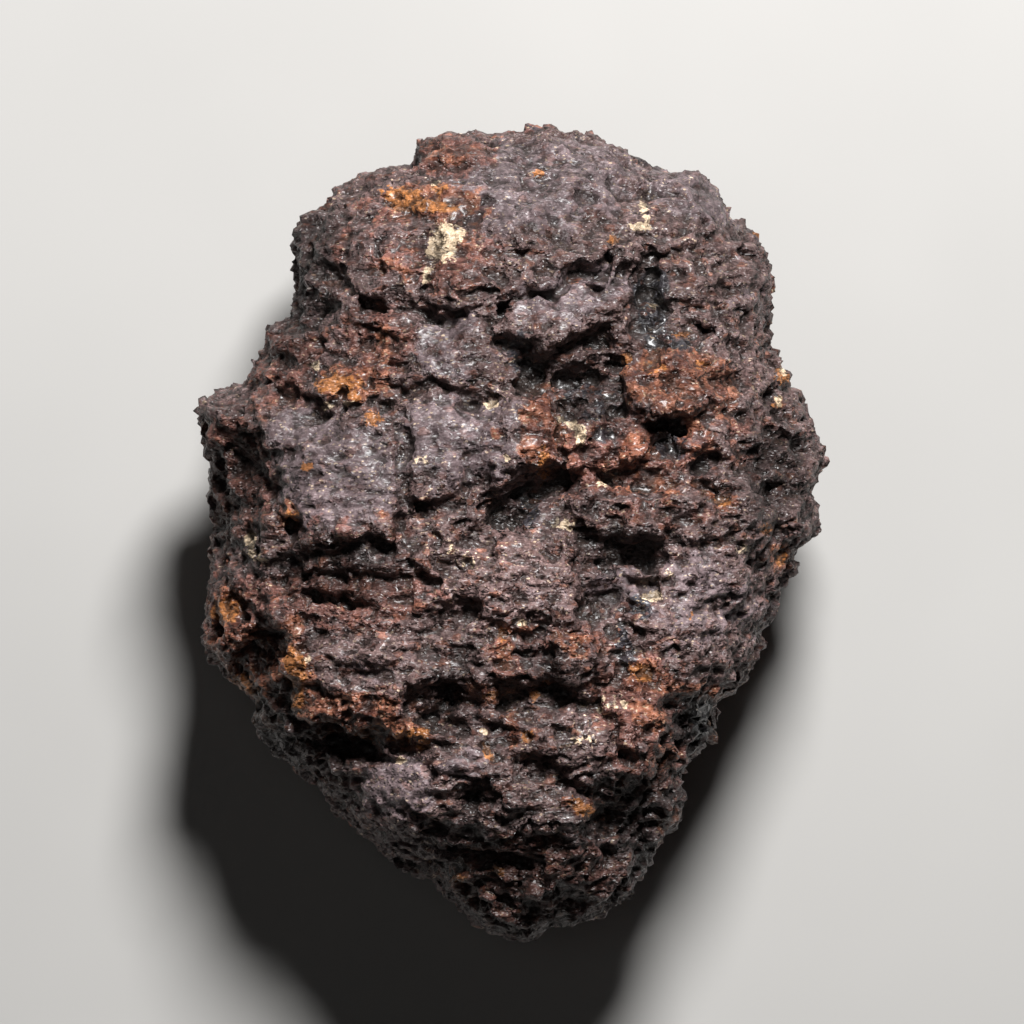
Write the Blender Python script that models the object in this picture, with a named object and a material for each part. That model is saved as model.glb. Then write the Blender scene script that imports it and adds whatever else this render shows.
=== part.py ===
"""Rough agate nodule, one whole stone lying on its back with its broad rugged face up.

Run with: blender --background --python part.py

Places on the broad face are given in millimetres from the middle of the stone: x across and
y along its length, as seen from above. Heights are in millimetres over the resting side.
"""

import math
from collections import namedtuple

import bmesh
import bpy
import numpy as np
from mathutils import Vector, noise

MM = 0.001

# Driving sizes in millimetres
LENGTH = 107.3
WIDTH = 83.4
THICKNESS = 56.0
RIM_HEIGHT = 24.0
DOME_HEIGHT = 48.5

# The back's lumps are cut off at the ground, which stands this high in the body, and what is
# left a hair above the cut is laid flat on it
REST_DEPTH = 2.0
REST_SNAP = 0.06

# How square the body's sides are: 2 is an ellipse and more is boxier
FACE_SQUARENESS = 2.5
BACK_SQUARENESS = 2.45

# The rim rises and falls along the outline, by about half of this; its size is for a circle of 1
RIM_SWING = 6.0
RIM_SWING_SIZE = 0.7

# The outline's notches are evened out over this many degrees below the rim, where the body
# also draws in, and for a part of their depth on the face
NOTCH_SPREAD = 14.0
UNDERSIDE_INSET = 1.0
FACE_EVENNESS = 0.7

# Mesh fineness: the first sphere, the even mesh made from its shape, and the finished solid
SPHERE_SUBDIVISIONS = 7
EVEN_MESH_SIZE = 0.7
SOLID_TRIANGLES = 9600

# The stone's outline from above, anticlockwise from its right side
OUTLINE = [
    (41.3, 0.8), (39.6, 5.2), (41.6, 10.8), (39.6, 15.4), (38.3, 18.6), (36.9, 19.2),
    (37.1, 20.6), (34.3, 25.0), (34.4, 31.0), (34.1, 37.0), (29.2, 41.8), (26.6, 46.2),
    (25.0, 48.0), (20.0, 48.6), (16.4, 49.4), (14.0, 51.6), (10.6, 52.8), (5.0, 53.8),
    (0.0, 53.3), (-2.5, 52.2), (-4.7, 53.2), (-9.0, 52.8), (-12.4, 51.4), (-12.8, 48.8),
    (-15.5, 48.2), (-19.5, 47.6), (-24.0, 44.6), (-28.4, 41.4), (-28.2, 30.5), (-28.9, 27.9),
    (-32.2, 27.0), (-32.4, 24.0), (-34.3, 21.3), (-35.2, 19.4), (-38.0, 18.8), (-41.3, 17.2),
    (-41.0, 14.8), (-39.6, 9.5), (-39.6, 0.0), (-39.6, -6.0), (-40.2, -11.0), (-40.6, -14.2),
    (-38.6, -18.0), (-35.4, -20.4), (-33.2, -23.0), (-34.0, -25.0), (-31.6, -28.2),
    (-26.6, -32.4), (-24.4, -35.6), (-18.0, -41.2), (-9.8, -46.2), (-5.6, -50.4),
    (-3.0, -53.0), (2.5, -53.7), (5.3, -51.8), (12.0, -50.2), (16.0, -47.0), (19.0, -41.8),
    (21.8, -38.9), (22.8, -35.0), (21.8, -32.6), (23.4, -29.8), (26.6, -27.4), (27.4, -22.0),
    (31.0, -19.5), (33.1, -15.4), (33.5, -12.6), (35.2, -10.8), (35.7, -6.8), (37.8, -4.9),
    (37.8, -1.8),
]

# A raised block of the face: its middle, its half sizes, its turn in degrees, how far its
# top stands over the dome, how much that changes for each millimetre across and along, and
# how much calmer than its surroundings it is
Block = namedtuple("Block", "x y half_x half_y turn lift lean_x lean_y calm", defaults=(0, 0, 0))

# A hollow: its middle, its half sizes, its turn in degrees and its depth
Hollow = namedtuple("Hollow", "x y half_x half_y turn depth")

# A crack: the points that it runs through, its half width and its depth
Crack = namedtuple("Crack", "points half_width depth")

BLOCKS = {
    "crown": Block(2.0, 43.5, 17.0, 10.8, 16, 4.6, 0.0, -0.10),
    "crown top left": Block(-6.0, 48.6, 7.0, 4.4, 0, 3.4, 0.0, -0.10),
    "right shoulder": Block(24.0, 43.4, 10.5, 6.4, -22, 3.0, 0.0, -0.10, 0.5),
    "right shoulder edge": Block(31.2, 31.5, 3.8, 8.0, 0, 2.2, -0.10, 0.0),
    "shoulder lump": Block(25.4, 32.2, 4.2, 3.6, 10, 2.2, 0.0, -0.12),
    "wedge": Block(8.6, 30.0, 8.6, 4.4, 16, 4.8, 0.0, -0.16, 0.7),
    "wedge left end": Block(0.6, 27.6, 2.0, 3.4, 0, 3.8, 0.0, -0.10),
    "block left of the wedge": Block(-8.0, 23.8, 5.8, 4.4, -6, 4.0, 0.0, -0.02, 0.5),
    "upper left block": Block(-17.4, 38.5, 7.2, 8.8, 8, 4.8, 0.06, -0.04),
    "lump under the crown": Block(-6.5, 34.6, 5.4, 4.0, -6, 4.6, 0.0, -0.04),
    "red block": Block(-18.4, 25.0, 3.6, 4.4, -8, 2.8, 0.08, 0.0),
    "left flank": Block(-24.6, 31.0, 2.6, 5.0, 10, 0.6),
    "shelf between the plates": Block(9.5, 18.9, 5.6, 1.6, 4, 3.0, 0.0, -0.16),
    "lower shelf": Block(9.6, 15.2, 4.8, 2.2, -4, 2.6, 0.0, -0.10),
    "red shelf, upper": Block(-29.6, 24.8, 3.2, 2.6, 10, 3.0),
    "red shelf, middle": Block(-32.4, 20.9, 2.2, 1.9, 30, 2.6),
    "red shelf, lower": Block(-27.6, 20.4, 2.6, 2.2, -10, 3.2),
    "orange crust": Block(-21.6, 19.4, 3.4, 2.2, 0, 4.4),
    "left horn": Block(-39.0, 15.2, 2.6, 3.2, -8, 3.6),
    "slanted slab": Block(-32.6, 13.4, 4.0, 3.6, 38, 4.0, 0.0, 0.0, 0.6),
    "left recess edge": Block(-38.2, 3.0, 2.0, 6.5, 0, 1.2),
    "centre plate, left": Block(-9.0, 11.6, 5.8, 6.0, -18, 4.8, 0.0, -0.06, 0.6),
    "centre plate, right": Block(0.6, 13.2, 5.0, 5.4, -6, 5.4, 0.04, -0.04, 0.7),
    "rust lump": Block(22.0, 19.0, 5.4, 3.4, -6, 5.6, 0.0, -0.30),
    "rust lump, left end": Block(17.6, 19.8, 2.0, 2.2, 0, 4.8),
    "first knob": Block(16.0, 10.4, 2.5, 2.7, 10, 4.5, 0.0, -0.10),
    "second knob": Block(11.2, 11.0, 2.0, 2.0, 0, 3.6, 0.0, -0.10),
    "third knob": Block(7.2, 11.2, 2.0, 3.4, 0, 3.4),
    "fourth knob": Block(24.4, 12.2, 2.5, 2.0, 20, 4.4),
    "fifth knob": Block(29.8, 13.2, 3.0, 2.6, -20, 4.2),
    "knob ridge": Block(27.0, 8.4, 3.8, 1.5, -8, 3.6),
    "right end, upper": Block(37.6, 12.2, 3.0, 5.6, 0, 3.2),
    "right end, ridge": Block(32.8, 17.8, 4.4, 3.6, -24, 3.0),
    "right end, tip": Block(37.8, 3.4, 2.8, 3.4, 0, 2.8),
    "right end, lower": Block(31.6, 4.6, 4.2, 3.2, -25, 4.0, 0.0, -0.10),
    "overhang, right": Block(24.4, 3.8, 4.6, 2.6, 0, 4.4, 0.0, -0.20),
    "overhang, middle": Block(17.6, 3.0, 3.0, 2.8, -10, 4.6, 0.0, -0.20),
    "overhang, left": Block(10.6, 3.4, 4.2, 2.8, -10, 4.0, 0.0, -0.08),
    "saddle ridge": Block(-8.6, 0.8, 3.8, 1.6, -12, 2.8),
    "left dome": Block(-12.2, -2.8, 3.0, 2.0, -6, 4.4),
    "lens plate": Block(1.2, -3.2, 4.6, 2.3, -2, 4.4, 0.0, -0.12, 0.5),
    "small lens plate": Block(7.6, -2.6, 2.2, 2.2, -12, 4.2, 0.0, -0.12, 0.5),
    "middle swell": Block(3.0, -8.4, 5.8, 3.2, 6, 5.0, 0.0, -0.08),
    "middle swell, left": Block(-6.8, -10.2, 6.2, 5.8, 0, 4.2),
    "lower left shoulder": Block(-35.0, -6.6, 3.8, 4.6, -12, 3.6),
    "lower left point": Block(-37.4, -13.6, 2.6, 3.6, 14, 2.4),
    "strata, upper": Block(-19.4, -7.6, 7.2, 1.5, -3, 3.7, 0.0, -0.10),
    "strata, lower": Block(-25.4, -10.8, 8.4, 2.2, -6, 4.6, 0.0, -0.12),
    "lower left body": Block(-18.6, -18.4, 8.6, 6.2, -8, 5.8, 0.0, -0.14, 0.3),
    "rusty web": Block(-27.4, -17.2, 1.8, 5.2, 8, 5.2),
    "rusty ledge, left": Block(-22.4, -24.2, 4.6, 1.6, -18, 5.0),
    "rusty ledge, right": Block(-13.4, -25.6, 3.4, 2.0, 12, 5.6),
    "lower knob": Block(-1.0, -16.4, 4.2, 3.8, 4, 4.8, 0.0, -0.10),
    "slanted lens": Block(9.0, -14.6, 4.8, 2.4, -16, 5.2, 0.0, -0.16),
    "right lobe": Block(25.0, -9.6, 9.4, 9.8, 14, 4.6, 0.0, -0.10, 0.5),
    "right lobe, top": Block(30.6, -2.4, 4.4, 2.6, -14, 3.4),
    "right lobe, lip": Block(24.6, -18.2, 5.8, 2.8, 6, 5.0, 0.0, -0.36, 0.3),
    "red dome": Block(17.2, -22.8, 3.9, 4.6, 14, 5.6, 0.0, -0.16, 0.5),
    "pitted block": Block(18.0, -29.6, 5.2, 3.6, -4, 4.8, 0.0, -0.18),
    "block under the saddle": Block(10.4, -30.0, 4.6, 2.6, 8, 4.4, 0.0, -0.24),
    "sparkling saddle": Block(8.4, -24.6, 5.2, 3.6, -6, 4.0, 0.0, -0.24),
    "low right point": Block(20.7, -35.6, 2.0, 3.2, 8, 3.4),
    "grey facet": Block(-14.0, -32.8, 6.2, 4.4, 10, 5.4, 0.04, -0.28, 0.85),
    "tilted facet": Block(-6.6, -30.2, 4.8, 2.4, 22, 5.2, 0.0, -0.30, 0.6),
    "ripple, first": Block(0.6, -34.0, 5.2, 2.8, -16, 4.4, 0.0, -0.04),
    "ripple, third": Block(7.6, -37.0, 4.0, 2.4, 24, 4.2, 0.0, -0.04),
    "ripple, fifth": Block(-1.6, -40.4, 3.6, 3.0, -30, 4.2, 0.0, -0.04),
    "tip, left": Block(-5.4, -46.4, 4.4, 2.2, -12, 3.8),
    "tip, middle": Block(4.0, -45.0, 3.0, 2.6, 30, 3.8),
    "tip, right": Block(13.2, -45.4, 4.0, 3.2, 24, 3.2),
    "rust lump, right end": Block(26.2, 17.4, 2.0, 2.6, 0, 4.6),
    "spur under the wedge": Block(8.8, 23.6, 1.0, 2.8, 62, 4.4),
    "tablet": Block(-22.8, 7.4, 8.8, 8.6, 4, 5.4, 0.0, -0.06, 0.85),
    "strata, top": Block(-20.4, -3.8, 6.6, 1.5, 3, 4.0, 0.0, -0.10),
    "ripple, sixth": Block(-8.8, -36.4, 3.6, 2.6, -20, 4.4, 0.0, -0.04),
    "tip, edge": Block(2.6, -49.6, 6.0, 2.6, 4, 3.2, 0.0, -0.08),
}

HOLLOWS = {
    "black cave": Hollow(17.9, 32.2, 1.9, 2.3, 0, 5.2),
    "blue-black strip": Hollow(18.4, 27.6, 2.2, 4.0, -8, 2.4),
    "shoulder arc": Hollow(24.4, 36.7, 3.0, 0.6, -26, 1.3),
    "shoulder slit": Hollow(25.3, 27.2, 2.6, 0.5, -4, 2.2),
    "upper left hole": Hollow(-18.6, 30.3, 1.0, 0.9, 0, 1.8),
    "crown hole": Hollow(-11.5, 31.4, 0.9, 1.1, 0, 1.6),
    "orange pocket": Hollow(-22.5, 18.0, 1.0, 0.8, 0, 3.0),
    "plate pocket": Hollow(-6.0, 16.6, 1.3, 0.9, -10, 1.2),
    "left recess": Hollow(-35.6, 6.4, 3.8, 6.0, 4, 3.0),
    "tablet hole": Hollow(-28.8, 0.8, 0.9, 0.9, 0, 2.8),
    "cavity under the rust lump": Hollow(20.8, 14.4, 3.2, 0.9, -4, 3.2),
    "blue hollow": Hollow(20.4, 11.2, 2.4, 1.6, 0, 1.8),
    "knob pit": Hollow(13.0, 7.2, 2.0, 0.9, 0, 2.2),
    "right end pit": Hollow(34.4, 10.6, 3.2, 1.9, 0, 2.4),
    "dark spot under the plate": Hollow(0.8, 3.9, 4.8, 3.0, 8, 3.2),
    "deep hollow": Hollow(14.4, -2.2, 5.2, 1.9, -4, 3.6),
    "lobe pit": Hollow(32.6, -4.2, 1.0, 0.8, 0, 1.4),
    "oval pit": Hollow(16.5, -12.5, 1.3, 0.8, 10, 1.8),
    "knob hole": Hollow(2.7, -13.3, 1.2, 1.0, 0, 2.8),
    "step beside the knob": Hollow(5.0, -18.6, 1.5, 2.4, 10, 1.8),
    "hollow by the lower knob": Hollow(-8.8, -21.0, 2.6, 3.2, 8, 3.4),
    "dark notch": Hollow(-0.6, -21.4, 1.5, 1.1, 0, 1.6),
    "cave": Hollow(-32.4, -16.0, 2.8, 3.4, 4, 4.6),
    "under the rusty ledge": Hollow(-20.6, -28.2, 6.0, 1.6, -10, 3.0),
    "rusty notch": Hollow(-13.4, -28.2, 1.8, 0.9, -8, 2.2),
    "crevice by the red dome": Hollow(21.7, -24.2, 1.0, 3.2, 20, 2.8),
    "block pit": Hollow(14.4, -29.4, 1.4, 1.0, 0, 2.4),
    "low right recess": Hollow(15.6, -36.6, 3.6, 2.4, 10, 2.0),
    "tip groove": Hollow(-3.6, -43.4, 4.6, 1.0, 0, 1.8),
    "tip cave": Hollow(-2.0, -46.6, 3.0, 1.2, 10, 1.6),
    "under the tablet": Hollow(-20.6, -5.0, 6.4, 3.2, -2, 1.4),
    "recess under the wedge": Hollow(6.4, 22.0, 7.8, 3.2, -4, 2.8),
    "pocket left of the spur": Hollow(3.4, 21.6, 2.2, 2.6, 20, 2.2),
    "pocket under the wedge's left end": Hollow(0.8, 24.4, 1.4, 1.0, 0, 2.0),
    "slot by the knobs": Hollow(25.6, 9.6, 3.4, 0.8, 16, 2.6),
    "crown pocket": Hollow(-4.2, 31.6, 1.6, 0.8, 20, 1.6),
    "strata groove": Hollow(-21.0, -9.4, 6.0, 0.5, -2, 1.2),
    "ragged step": Hollow(10.6, 17.0, 3.6, 0.6, 4, 1.2),
    "slot under the knobs": Hollow(10.8, 3.6, 2.0, 0.7, -10, 1.8),
    "slot under the first knob": Hollow(17.6, 4.2, 1.3, 0.6, 0, 1.6),
    "crack in the lobe": Hollow(17.6, -6.6, 3.0, 0.5, -28, 1.2),
}

CRACKS = {
    "crown ledge": Crack([(-1.0, 30.0), (3.0, 31.5), (8.0, 33.6), (13.0, 36.2)], 0.8, 3.0),
    "shoulder ledge": Crack([(13.0, 36.2), (16.0, 37.0), (19.0, 36.4)], 0.6, 1.6),
    "plate's upper edge": Crack([(-14.0, 18.8), (-6.0, 18.4)], 0.5, 0.8),
    "plate's right edge": Crack([(5.8, 6.0), (5.9, 12.6), (6.6, 17.0)], 0.5, 1.6),
    "blue groove": Crack([(13.4, -12.6), (14.4, -16.0), (15.4, -18.4)], 0.6, 1.5),
    "shelf's upper edge": Crack([(4.0, 18.6), (13.6, 19.6)], 0.6, 1.6),
    "crown ledge, left": Crack([(-12.0, 29.2), (-7.0, 28.2), (-3.0, 28.4)], 0.5, 1.2),
    "tablet's right edge": Crack([(-14.4, 14.0), (-14.2, 8.0), (-14.0, 2.0)], 0.5, 1.4),
}

# How steeply a block's sides fall, how square its footprint is, and how its top is rounded
WALL_SLOPE = 1.6
BLOCK_SQUARENESS = 2.7
BLOCK_CROWN = 0.9
HOLLOW_LIP = 0.4

# Gentle swells over all of it: their height and size
SWELL = 1.5
SWELL_SIZE = 6.0

# How far the floor of the gaps between blocks stands over the dome
GAP_LIFT = 2.8

# How far the blocks' edges wander, and over what distance
WANDERS = [(2.6, 9.0), (1.8, 3.4)]

# Rubble on the back, none at the rim: the size of its lumps, how far they stand out and the
# depth of the crevices between them, with the share of it that the broad face has
RUBBLE_SIZE = 13.0
RUBBLE_RELIEF = 3.0
CREVICE_DEPTH = 1.5
CREVICE_WIDTH = 0.22
FACE_RUBBLE_SHARE = 0.2

# The seed of the noise that bends the lumps' walls, so that each run gives the same stone
NOISE_SEED = 1795635302

# Crags everywhere, longer along x than they are wide, as the rind's thin layers leave them
CRAG_SIZE = (8.0, 4.6, 5.4)
CRAG_RELIEF = 1.5

# The finish: dark red-brown iron-stained rind, slightly glossy
RIND_COLOR = (0.085, 0.062, 0.058, 1.0)
RIND_ROUGHNESS = 0.62


def clear_scene():
    for leftover in list(bpy.data.objects):
        bpy.data.objects.remove(leftover, do_unlink=True)


def rind_material():
    material = bpy.data.materials.new("rind")
    material.use_nodes = True
    shader = material.node_tree.nodes["Principled BSDF"]
    shader.inputs["Base Color"].default_value = RIND_COLOR
    shader.inputs["Roughness"].default_value = RIND_ROUGHNESS
    shader.inputs["Metallic"].default_value = 0.0
    return material


def smooth_step(low, high, values):
    share = np.clip((values - low) / (high - low), 0.0, 1.0)
    return share * share * (3.0 - 2.0 * share)


def outline_reach(angles):
    """How far the outline is from the middle, in each direction."""
    corners = np.array(OUTLINE)
    corner_angles = np.arctan2(corners[:, 1], corners[:, 0])
    corner_reach = np.hypot(corners[:, 0], corners[:, 1])
    order = np.argsort(corner_angles)
    return np.interp(angles, corner_angles[order], corner_reach[order], period=2 * math.pi)


def even_reach(angles):
    """The same without the outline's notches."""
    turns = np.radians(np.linspace(-NOTCH_SPREAD, NOTCH_SPREAD, 9))
    return np.mean([outline_reach(angles + turn) for turn in turns], axis=0)


def body_points(directions):
    """The plain body: a squared pebble with the outline at its rim, domed front and back."""
    level = directions[:, 2]
    out = np.hypot(directions[:, 0], directions[:, 1])
    angle = np.arctan2(directions[:, 1], directions[:, 0])
    power = 2.0 / np.where(level > 0, FACE_SQUARENESS, BACK_SQUARENESS)
    under = smooth_step(0.03, 0.30, -level)
    even = under + FACE_EVENNESS * smooth_step(0.2, 0.6, level)
    reach = (1.0 - even) * outline_reach(angle) + even * even_reach(angle) - UNDERSIDE_INSET * under
    radius = reach * out ** power
    ring = np.stack([np.cos(angle), np.sin(angle), np.zeros(len(angle))], axis=1)
    rim = RIM_HEIGHT + RIM_SWING * noise_at(ring, RIM_SWING_SIZE, 5.1)
    rise = np.where(level > 0, DOME_HEIGHT - rim, rim + REST_DEPTH)
    height = rim + np.sign(level) * rise * np.abs(level) ** power
    return np.stack([radius * np.cos(angle), radius * np.sin(angle), height], axis=1)


def noise_at(points, size, offset):
    """Smooth noise from about -1 to 1 at each point, of that size in millimetres."""
    scaled = points / np.array(size) + offset
    return np.array([noise.noise(Vector(place)) for place in scaled.tolist()])


def wandered(points):
    """The points' x and y, shifted by noise, so that every edge drawn there is ragged."""
    flat = points * (1.0, 1.0, 0.0)
    x, y = points[:, 0].copy(), points[:, 1].copy()
    for offset, (distance, size) in enumerate(WANDERS):
        x += distance * noise_at(flat, size, 11.3 + offset)
        y += distance * noise_at(flat, size, 47.9 + offset)
    return x, y


def anchored(form):
    """The form with its middle moved as its surroundings wander, so that it stays in place."""
    x, y = wandered(np.array([[form.x, form.y, 0.0]]))
    return form._replace(x=x[0], y=y[0])


def anchored_crack(crack):
    """The same for the points that a crack runs through."""
    x, y = wandered(np.array([(*point, 0.0) for point in crack.points]))
    return crack._replace(points=list(zip(x, y)))


def footprint(x, y, shape):
    """0 in the middle of a block or hollow, 1 at its edge, and more outside."""
    turn = math.radians(shape.turn)
    across, along = x - shape.x, y - shape.y
    u = (across * math.cos(turn) + along * math.sin(turn)) / shape.half_x
    v = (along * math.cos(turn) - across * math.sin(turn)) / shape.half_y
    power = BLOCK_SQUARENESS
    return (np.abs(u) ** power + np.abs(v) ** power) ** (1.0 / power)


def block_height(x, y, block):
    """The height of one block's top over the dome, falling away steeply past its edge."""
    reach = footprint(x, y, block)
    top = block.lift + block.lean_x * (x - block.x) + block.lean_y * (y - block.y)
    rounding = BLOCK_CROWN * np.minimum(reach, 1.0) ** 4
    fall = np.maximum(reach - 1.0, 0.0) * min(block.half_x, block.half_y) * WALL_SLOPE
    return top - rounding - fall


def hollow_depth(x, y, hollow):
    reach = footprint(x, y, hollow)
    return hollow.depth * smooth_step(1.0 + HOLLOW_LIP, 1.0 - HOLLOW_LIP, reach)


def crack_depth(x, y, crack):
    nearest = np.full(len(x), np.inf)
    for (x0, y0), (x1, y1) in zip(crack.points, crack.points[1:]):
        run = np.array([x1 - x0, y1 - y0])
        share = ((x - x0) * run[0] + (y - y0) * run[1]) / run.dot(run)
        share = np.clip(share, 0.0, 1.0)
        away = np.hypot(x - x0 - share * run[0], y - y0 - share * run[1])
        nearest = np.minimum(nearest, away)
    return crack.depth * smooth_step(1.5 * crack.half_width, 0.3 * crack.half_width, nearest)


def face_relief(points):
    """How far the broad face stands over the dome, and how rough each place of it is."""
    x, y = wandered(points)
    relief = np.full(len(x), GAP_LIFT)
    rough = np.ones(len(x))
    for block in BLOCKS.values():
        top = block_height(x, y, anchored(block))
        rough[top > relief] = 1.0 - block.calm
        relief = np.maximum(relief, top)
    relief += SWELL * rough * noise_at(points, SWELL_SIZE, 71.3)
    for hollow in HOLLOWS.values():
        relief -= hollow_depth(x, y, anchored(hollow))
    for crack in CRACKS.values():
        relief -= crack_depth(x, y, anchored_crack(crack))
    return relief, rough


def rubble_relief(points):
    """Lumps that meet in crevices, each standing out by its own amount."""
    relief = np.empty(len(points))
    for index, place in enumerate((points / RUBBLE_SIZE).tolist()):
        spot = Vector(place)
        bent = spot + 0.35 * noise.noise_vector(spot * 1.7)
        distances, seeds = noise.voronoi(bent)
        lift = noise.cell(seeds[0] * 9.7)
        crevice = min(1.0, (distances[1] - distances[0]) / CREVICE_WIDTH)
        relief[index] = RUBBLE_RELIEF * (lift - 0.5) - CREVICE_DEPTH * (1.0 - crevice) ** 2
    return relief


def crag_relief(points):
    return CRAG_RELIEF * (0.4 - 2.0 * np.abs(noise_at(points, CRAG_SIZE, 3.1)))


def vertex_array(mesh, attribute):
    values = np.empty(len(mesh.vertices) * 3, np.float32)
    mesh.vertices.foreach_get(attribute, values)
    return values.reshape(-1, 3).astype(float)


def set_points(mesh, points):
    mesh.vertices.foreach_set("co", points.astype(np.float32).ravel())
    mesh.update()


def fine_stone():
    """The stone as a fine mesh, in millimetres."""
    sphere = bmesh.new()
    bmesh.ops.create_icosphere(sphere, subdivisions=SPHERE_SUBDIVISIONS, radius=1.0)
    mesh = bpy.data.meshes.new("agate_nodule")
    sphere.to_mesh(mesh)
    sphere.free()

    directions = vertex_array(mesh, "co")
    points = body_points(directions)
    face_share = smooth_step(0.02, 0.28, directions[:, 2])
    relief, rough = face_relief(points)
    points[:, 2] += face_share * relief
    set_points(mesh, points)

    normals = vertex_array(mesh, "normal")
    back_share = smooth_step(0.10, 0.45, -directions[:, 2])
    rubble = rubble_relief(points) * np.maximum(back_share, FACE_RUBBLE_SHARE * face_share)
    points += normals * (rubble + rough * crag_relief(points))[:, None]
    set_points(mesh, points)
    return mesh


def evaluated_mesh(mesh, kind, **settings):
    """A copy of the mesh with one modifier applied."""
    helper = bpy.data.objects.new("shaping", mesh)
    bpy.context.scene.collection.objects.link(helper)
    modifier = helper.modifiers.new(kind, kind)
    for setting, value in settings.items():
        setattr(modifier, setting, value)
    graph = bpy.context.evaluated_depsgraph_get()
    result = bpy.data.meshes.new_from_object(helper.evaluated_get(graph))
    bpy.data.objects.remove(helper)
    return result


def cut_flat_at_ground(mesh):
    points = vertex_array(mesh, "co")
    points[:, 2] = np.where(points[:, 2] < REST_SNAP, 0.0, points[:, 2])
    set_points(mesh, points)


def fit_to_size(mesh):
    """Scales the stone to its real size in metres and stands it on its lowest face."""
    points = vertex_array(mesh, "co")
    low, high = points.min(axis=0), points.max(axis=0)
    middle = (low + high) / 2
    middle[2] = low[2]
    size = np.array([WIDTH, LENGTH, THICKNESS])
    set_points(mesh, (points - middle) * size / (high - low) * MM)


def build():
    clear_scene()
    noise.seed_set(NOISE_SEED)
    even = evaluated_mesh(fine_stone(), "REMESH", mode="VOXEL", voxel_size=EVEN_MESH_SIZE)
    cut_flat_at_ground(even)
    ratio = SOLID_TRIANGLES / (2 * len(even.polygons))
    solid = evaluated_mesh(even, "DECIMATE", ratio=ratio, use_collapse_triangulate=True)
    cut_flat_at_ground(solid)
    fit_to_size(solid)
    solid.shade_smooth()
    solid.set_sharp_from_angle(angle=math.radians(40))
    stone = bpy.data.objects.new("agate_nodule", solid)
    stone.data.materials.append(rind_material())
    bpy.context.scene.collection.objects.link(stone)


build()
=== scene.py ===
"""Rough agate nodule: the finished surface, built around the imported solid.

The stone lies on its back with its broad face up. Places on that face are in millimetres from
the middle of the stone, x across it and y along it, as seen from above.
"""

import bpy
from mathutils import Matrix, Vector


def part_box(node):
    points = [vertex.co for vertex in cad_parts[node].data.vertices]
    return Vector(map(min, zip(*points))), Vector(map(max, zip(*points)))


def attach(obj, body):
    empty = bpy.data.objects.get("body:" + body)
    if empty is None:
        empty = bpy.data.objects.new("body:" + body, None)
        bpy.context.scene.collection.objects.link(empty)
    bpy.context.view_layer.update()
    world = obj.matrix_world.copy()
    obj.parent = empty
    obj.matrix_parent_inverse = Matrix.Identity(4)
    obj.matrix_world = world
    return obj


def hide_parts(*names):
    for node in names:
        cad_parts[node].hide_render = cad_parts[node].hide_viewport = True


bl_info = {
    "name": "Rough agate nodule",
    "version": (1, 0, 0),
    "blender": (4, 5, 0),
    "location": "View3D > Sidebar > Agate",
    "description": "A craggy iron-stained agate nodule with its crust, stains and glints",
    "category": "Add Mesh",
}

import math
from collections import namedtuple

import bmesh
import bpy
import numpy as np
from mathutils import Vector, noise

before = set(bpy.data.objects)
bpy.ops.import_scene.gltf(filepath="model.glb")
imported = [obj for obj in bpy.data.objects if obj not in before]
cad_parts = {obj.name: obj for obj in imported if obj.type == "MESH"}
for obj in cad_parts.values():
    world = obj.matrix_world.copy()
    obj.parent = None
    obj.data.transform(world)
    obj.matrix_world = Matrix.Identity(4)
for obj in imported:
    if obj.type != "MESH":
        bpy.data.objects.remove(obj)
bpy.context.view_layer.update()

NODE = "agate_nodule"
MM = 0.001

# The view looks straight down on the face, aimed this far along the stone, in millimetres
VIEW_CENTRE_Y = 2.69

# Where the lights hang, how broad they are and where they point, in metres
KEY_PLACE = (0.08, 0.34, 0.48)
KEY_SIZE = 0.16
FILL_PLACE = (-0.15, -0.10, 0.9)
FILL_SIZE = 0.5
LIGHT_AIM = (0.0, 0.0, 0.03)

# The floor reaches this far from the middle each way, in metres
FLOOR_REACH = 1.5

# The stone's outline from above, anticlockwise from its right side
OUTLINE = [
    (41.3, 0.8), (39.6, 5.2), (41.6, 10.8), (39.6, 15.4), (38.3, 18.6), (36.9, 19.2),
    (37.1, 20.6), (34.3, 25), (34.4, 31), (34.1, 37), (29.2, 41.8), (26.6, 46.2),
    (25, 48), (20, 48.6), (16.4, 49.4), (14, 51.6), (10.6, 52.8), (5, 53.8),
    (0, 53.3), (-2.5, 52.2), (-4.7, 53.2), (-9, 52.8), (-12.4, 51.4), (-12.8, 48.8),
    (-15.5, 48.2), (-19.5, 47.6), (-24, 44.6), (-28.4, 41.4), (-28.2, 30.5), (-28.9, 27.9),
    (-32.2, 27), (-32.4, 24), (-34.3, 21.3), (-35.2, 19.4), (-38, 18.8), (-41.3, 17.2),
    (-41, 14.8), (-39.6, 9.5), (-39.6, 0), (-39.6, -6), (-40.2, -11), (-40.6, -14.2),
    (-38.6, -18), (-35.4, -20.4), (-33.2, -23), (-34, -25), (-31.6, -28.2),
    (-26.6, -32.4), (-24.4, -35.6), (-18, -41.2), (-9.8, -46.2), (-5.6, -50.4),
    (-3, -53), (2.5, -53.7), (5.3, -51.8), (12, -50.2), (16, -47), (19, -41.8),
    (21.8, -38.9), (22.8, -35), (21.8, -32.6), (23.4, -29.8), (26.6, -27.4), (27.4, -22),
    (31, -19.5), (33.1, -15.4), (33.5, -12.6), (35.2, -10.8), (35.7, -6.8), (37.8, -4.9),
    (37.8, -1.8),
]

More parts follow.
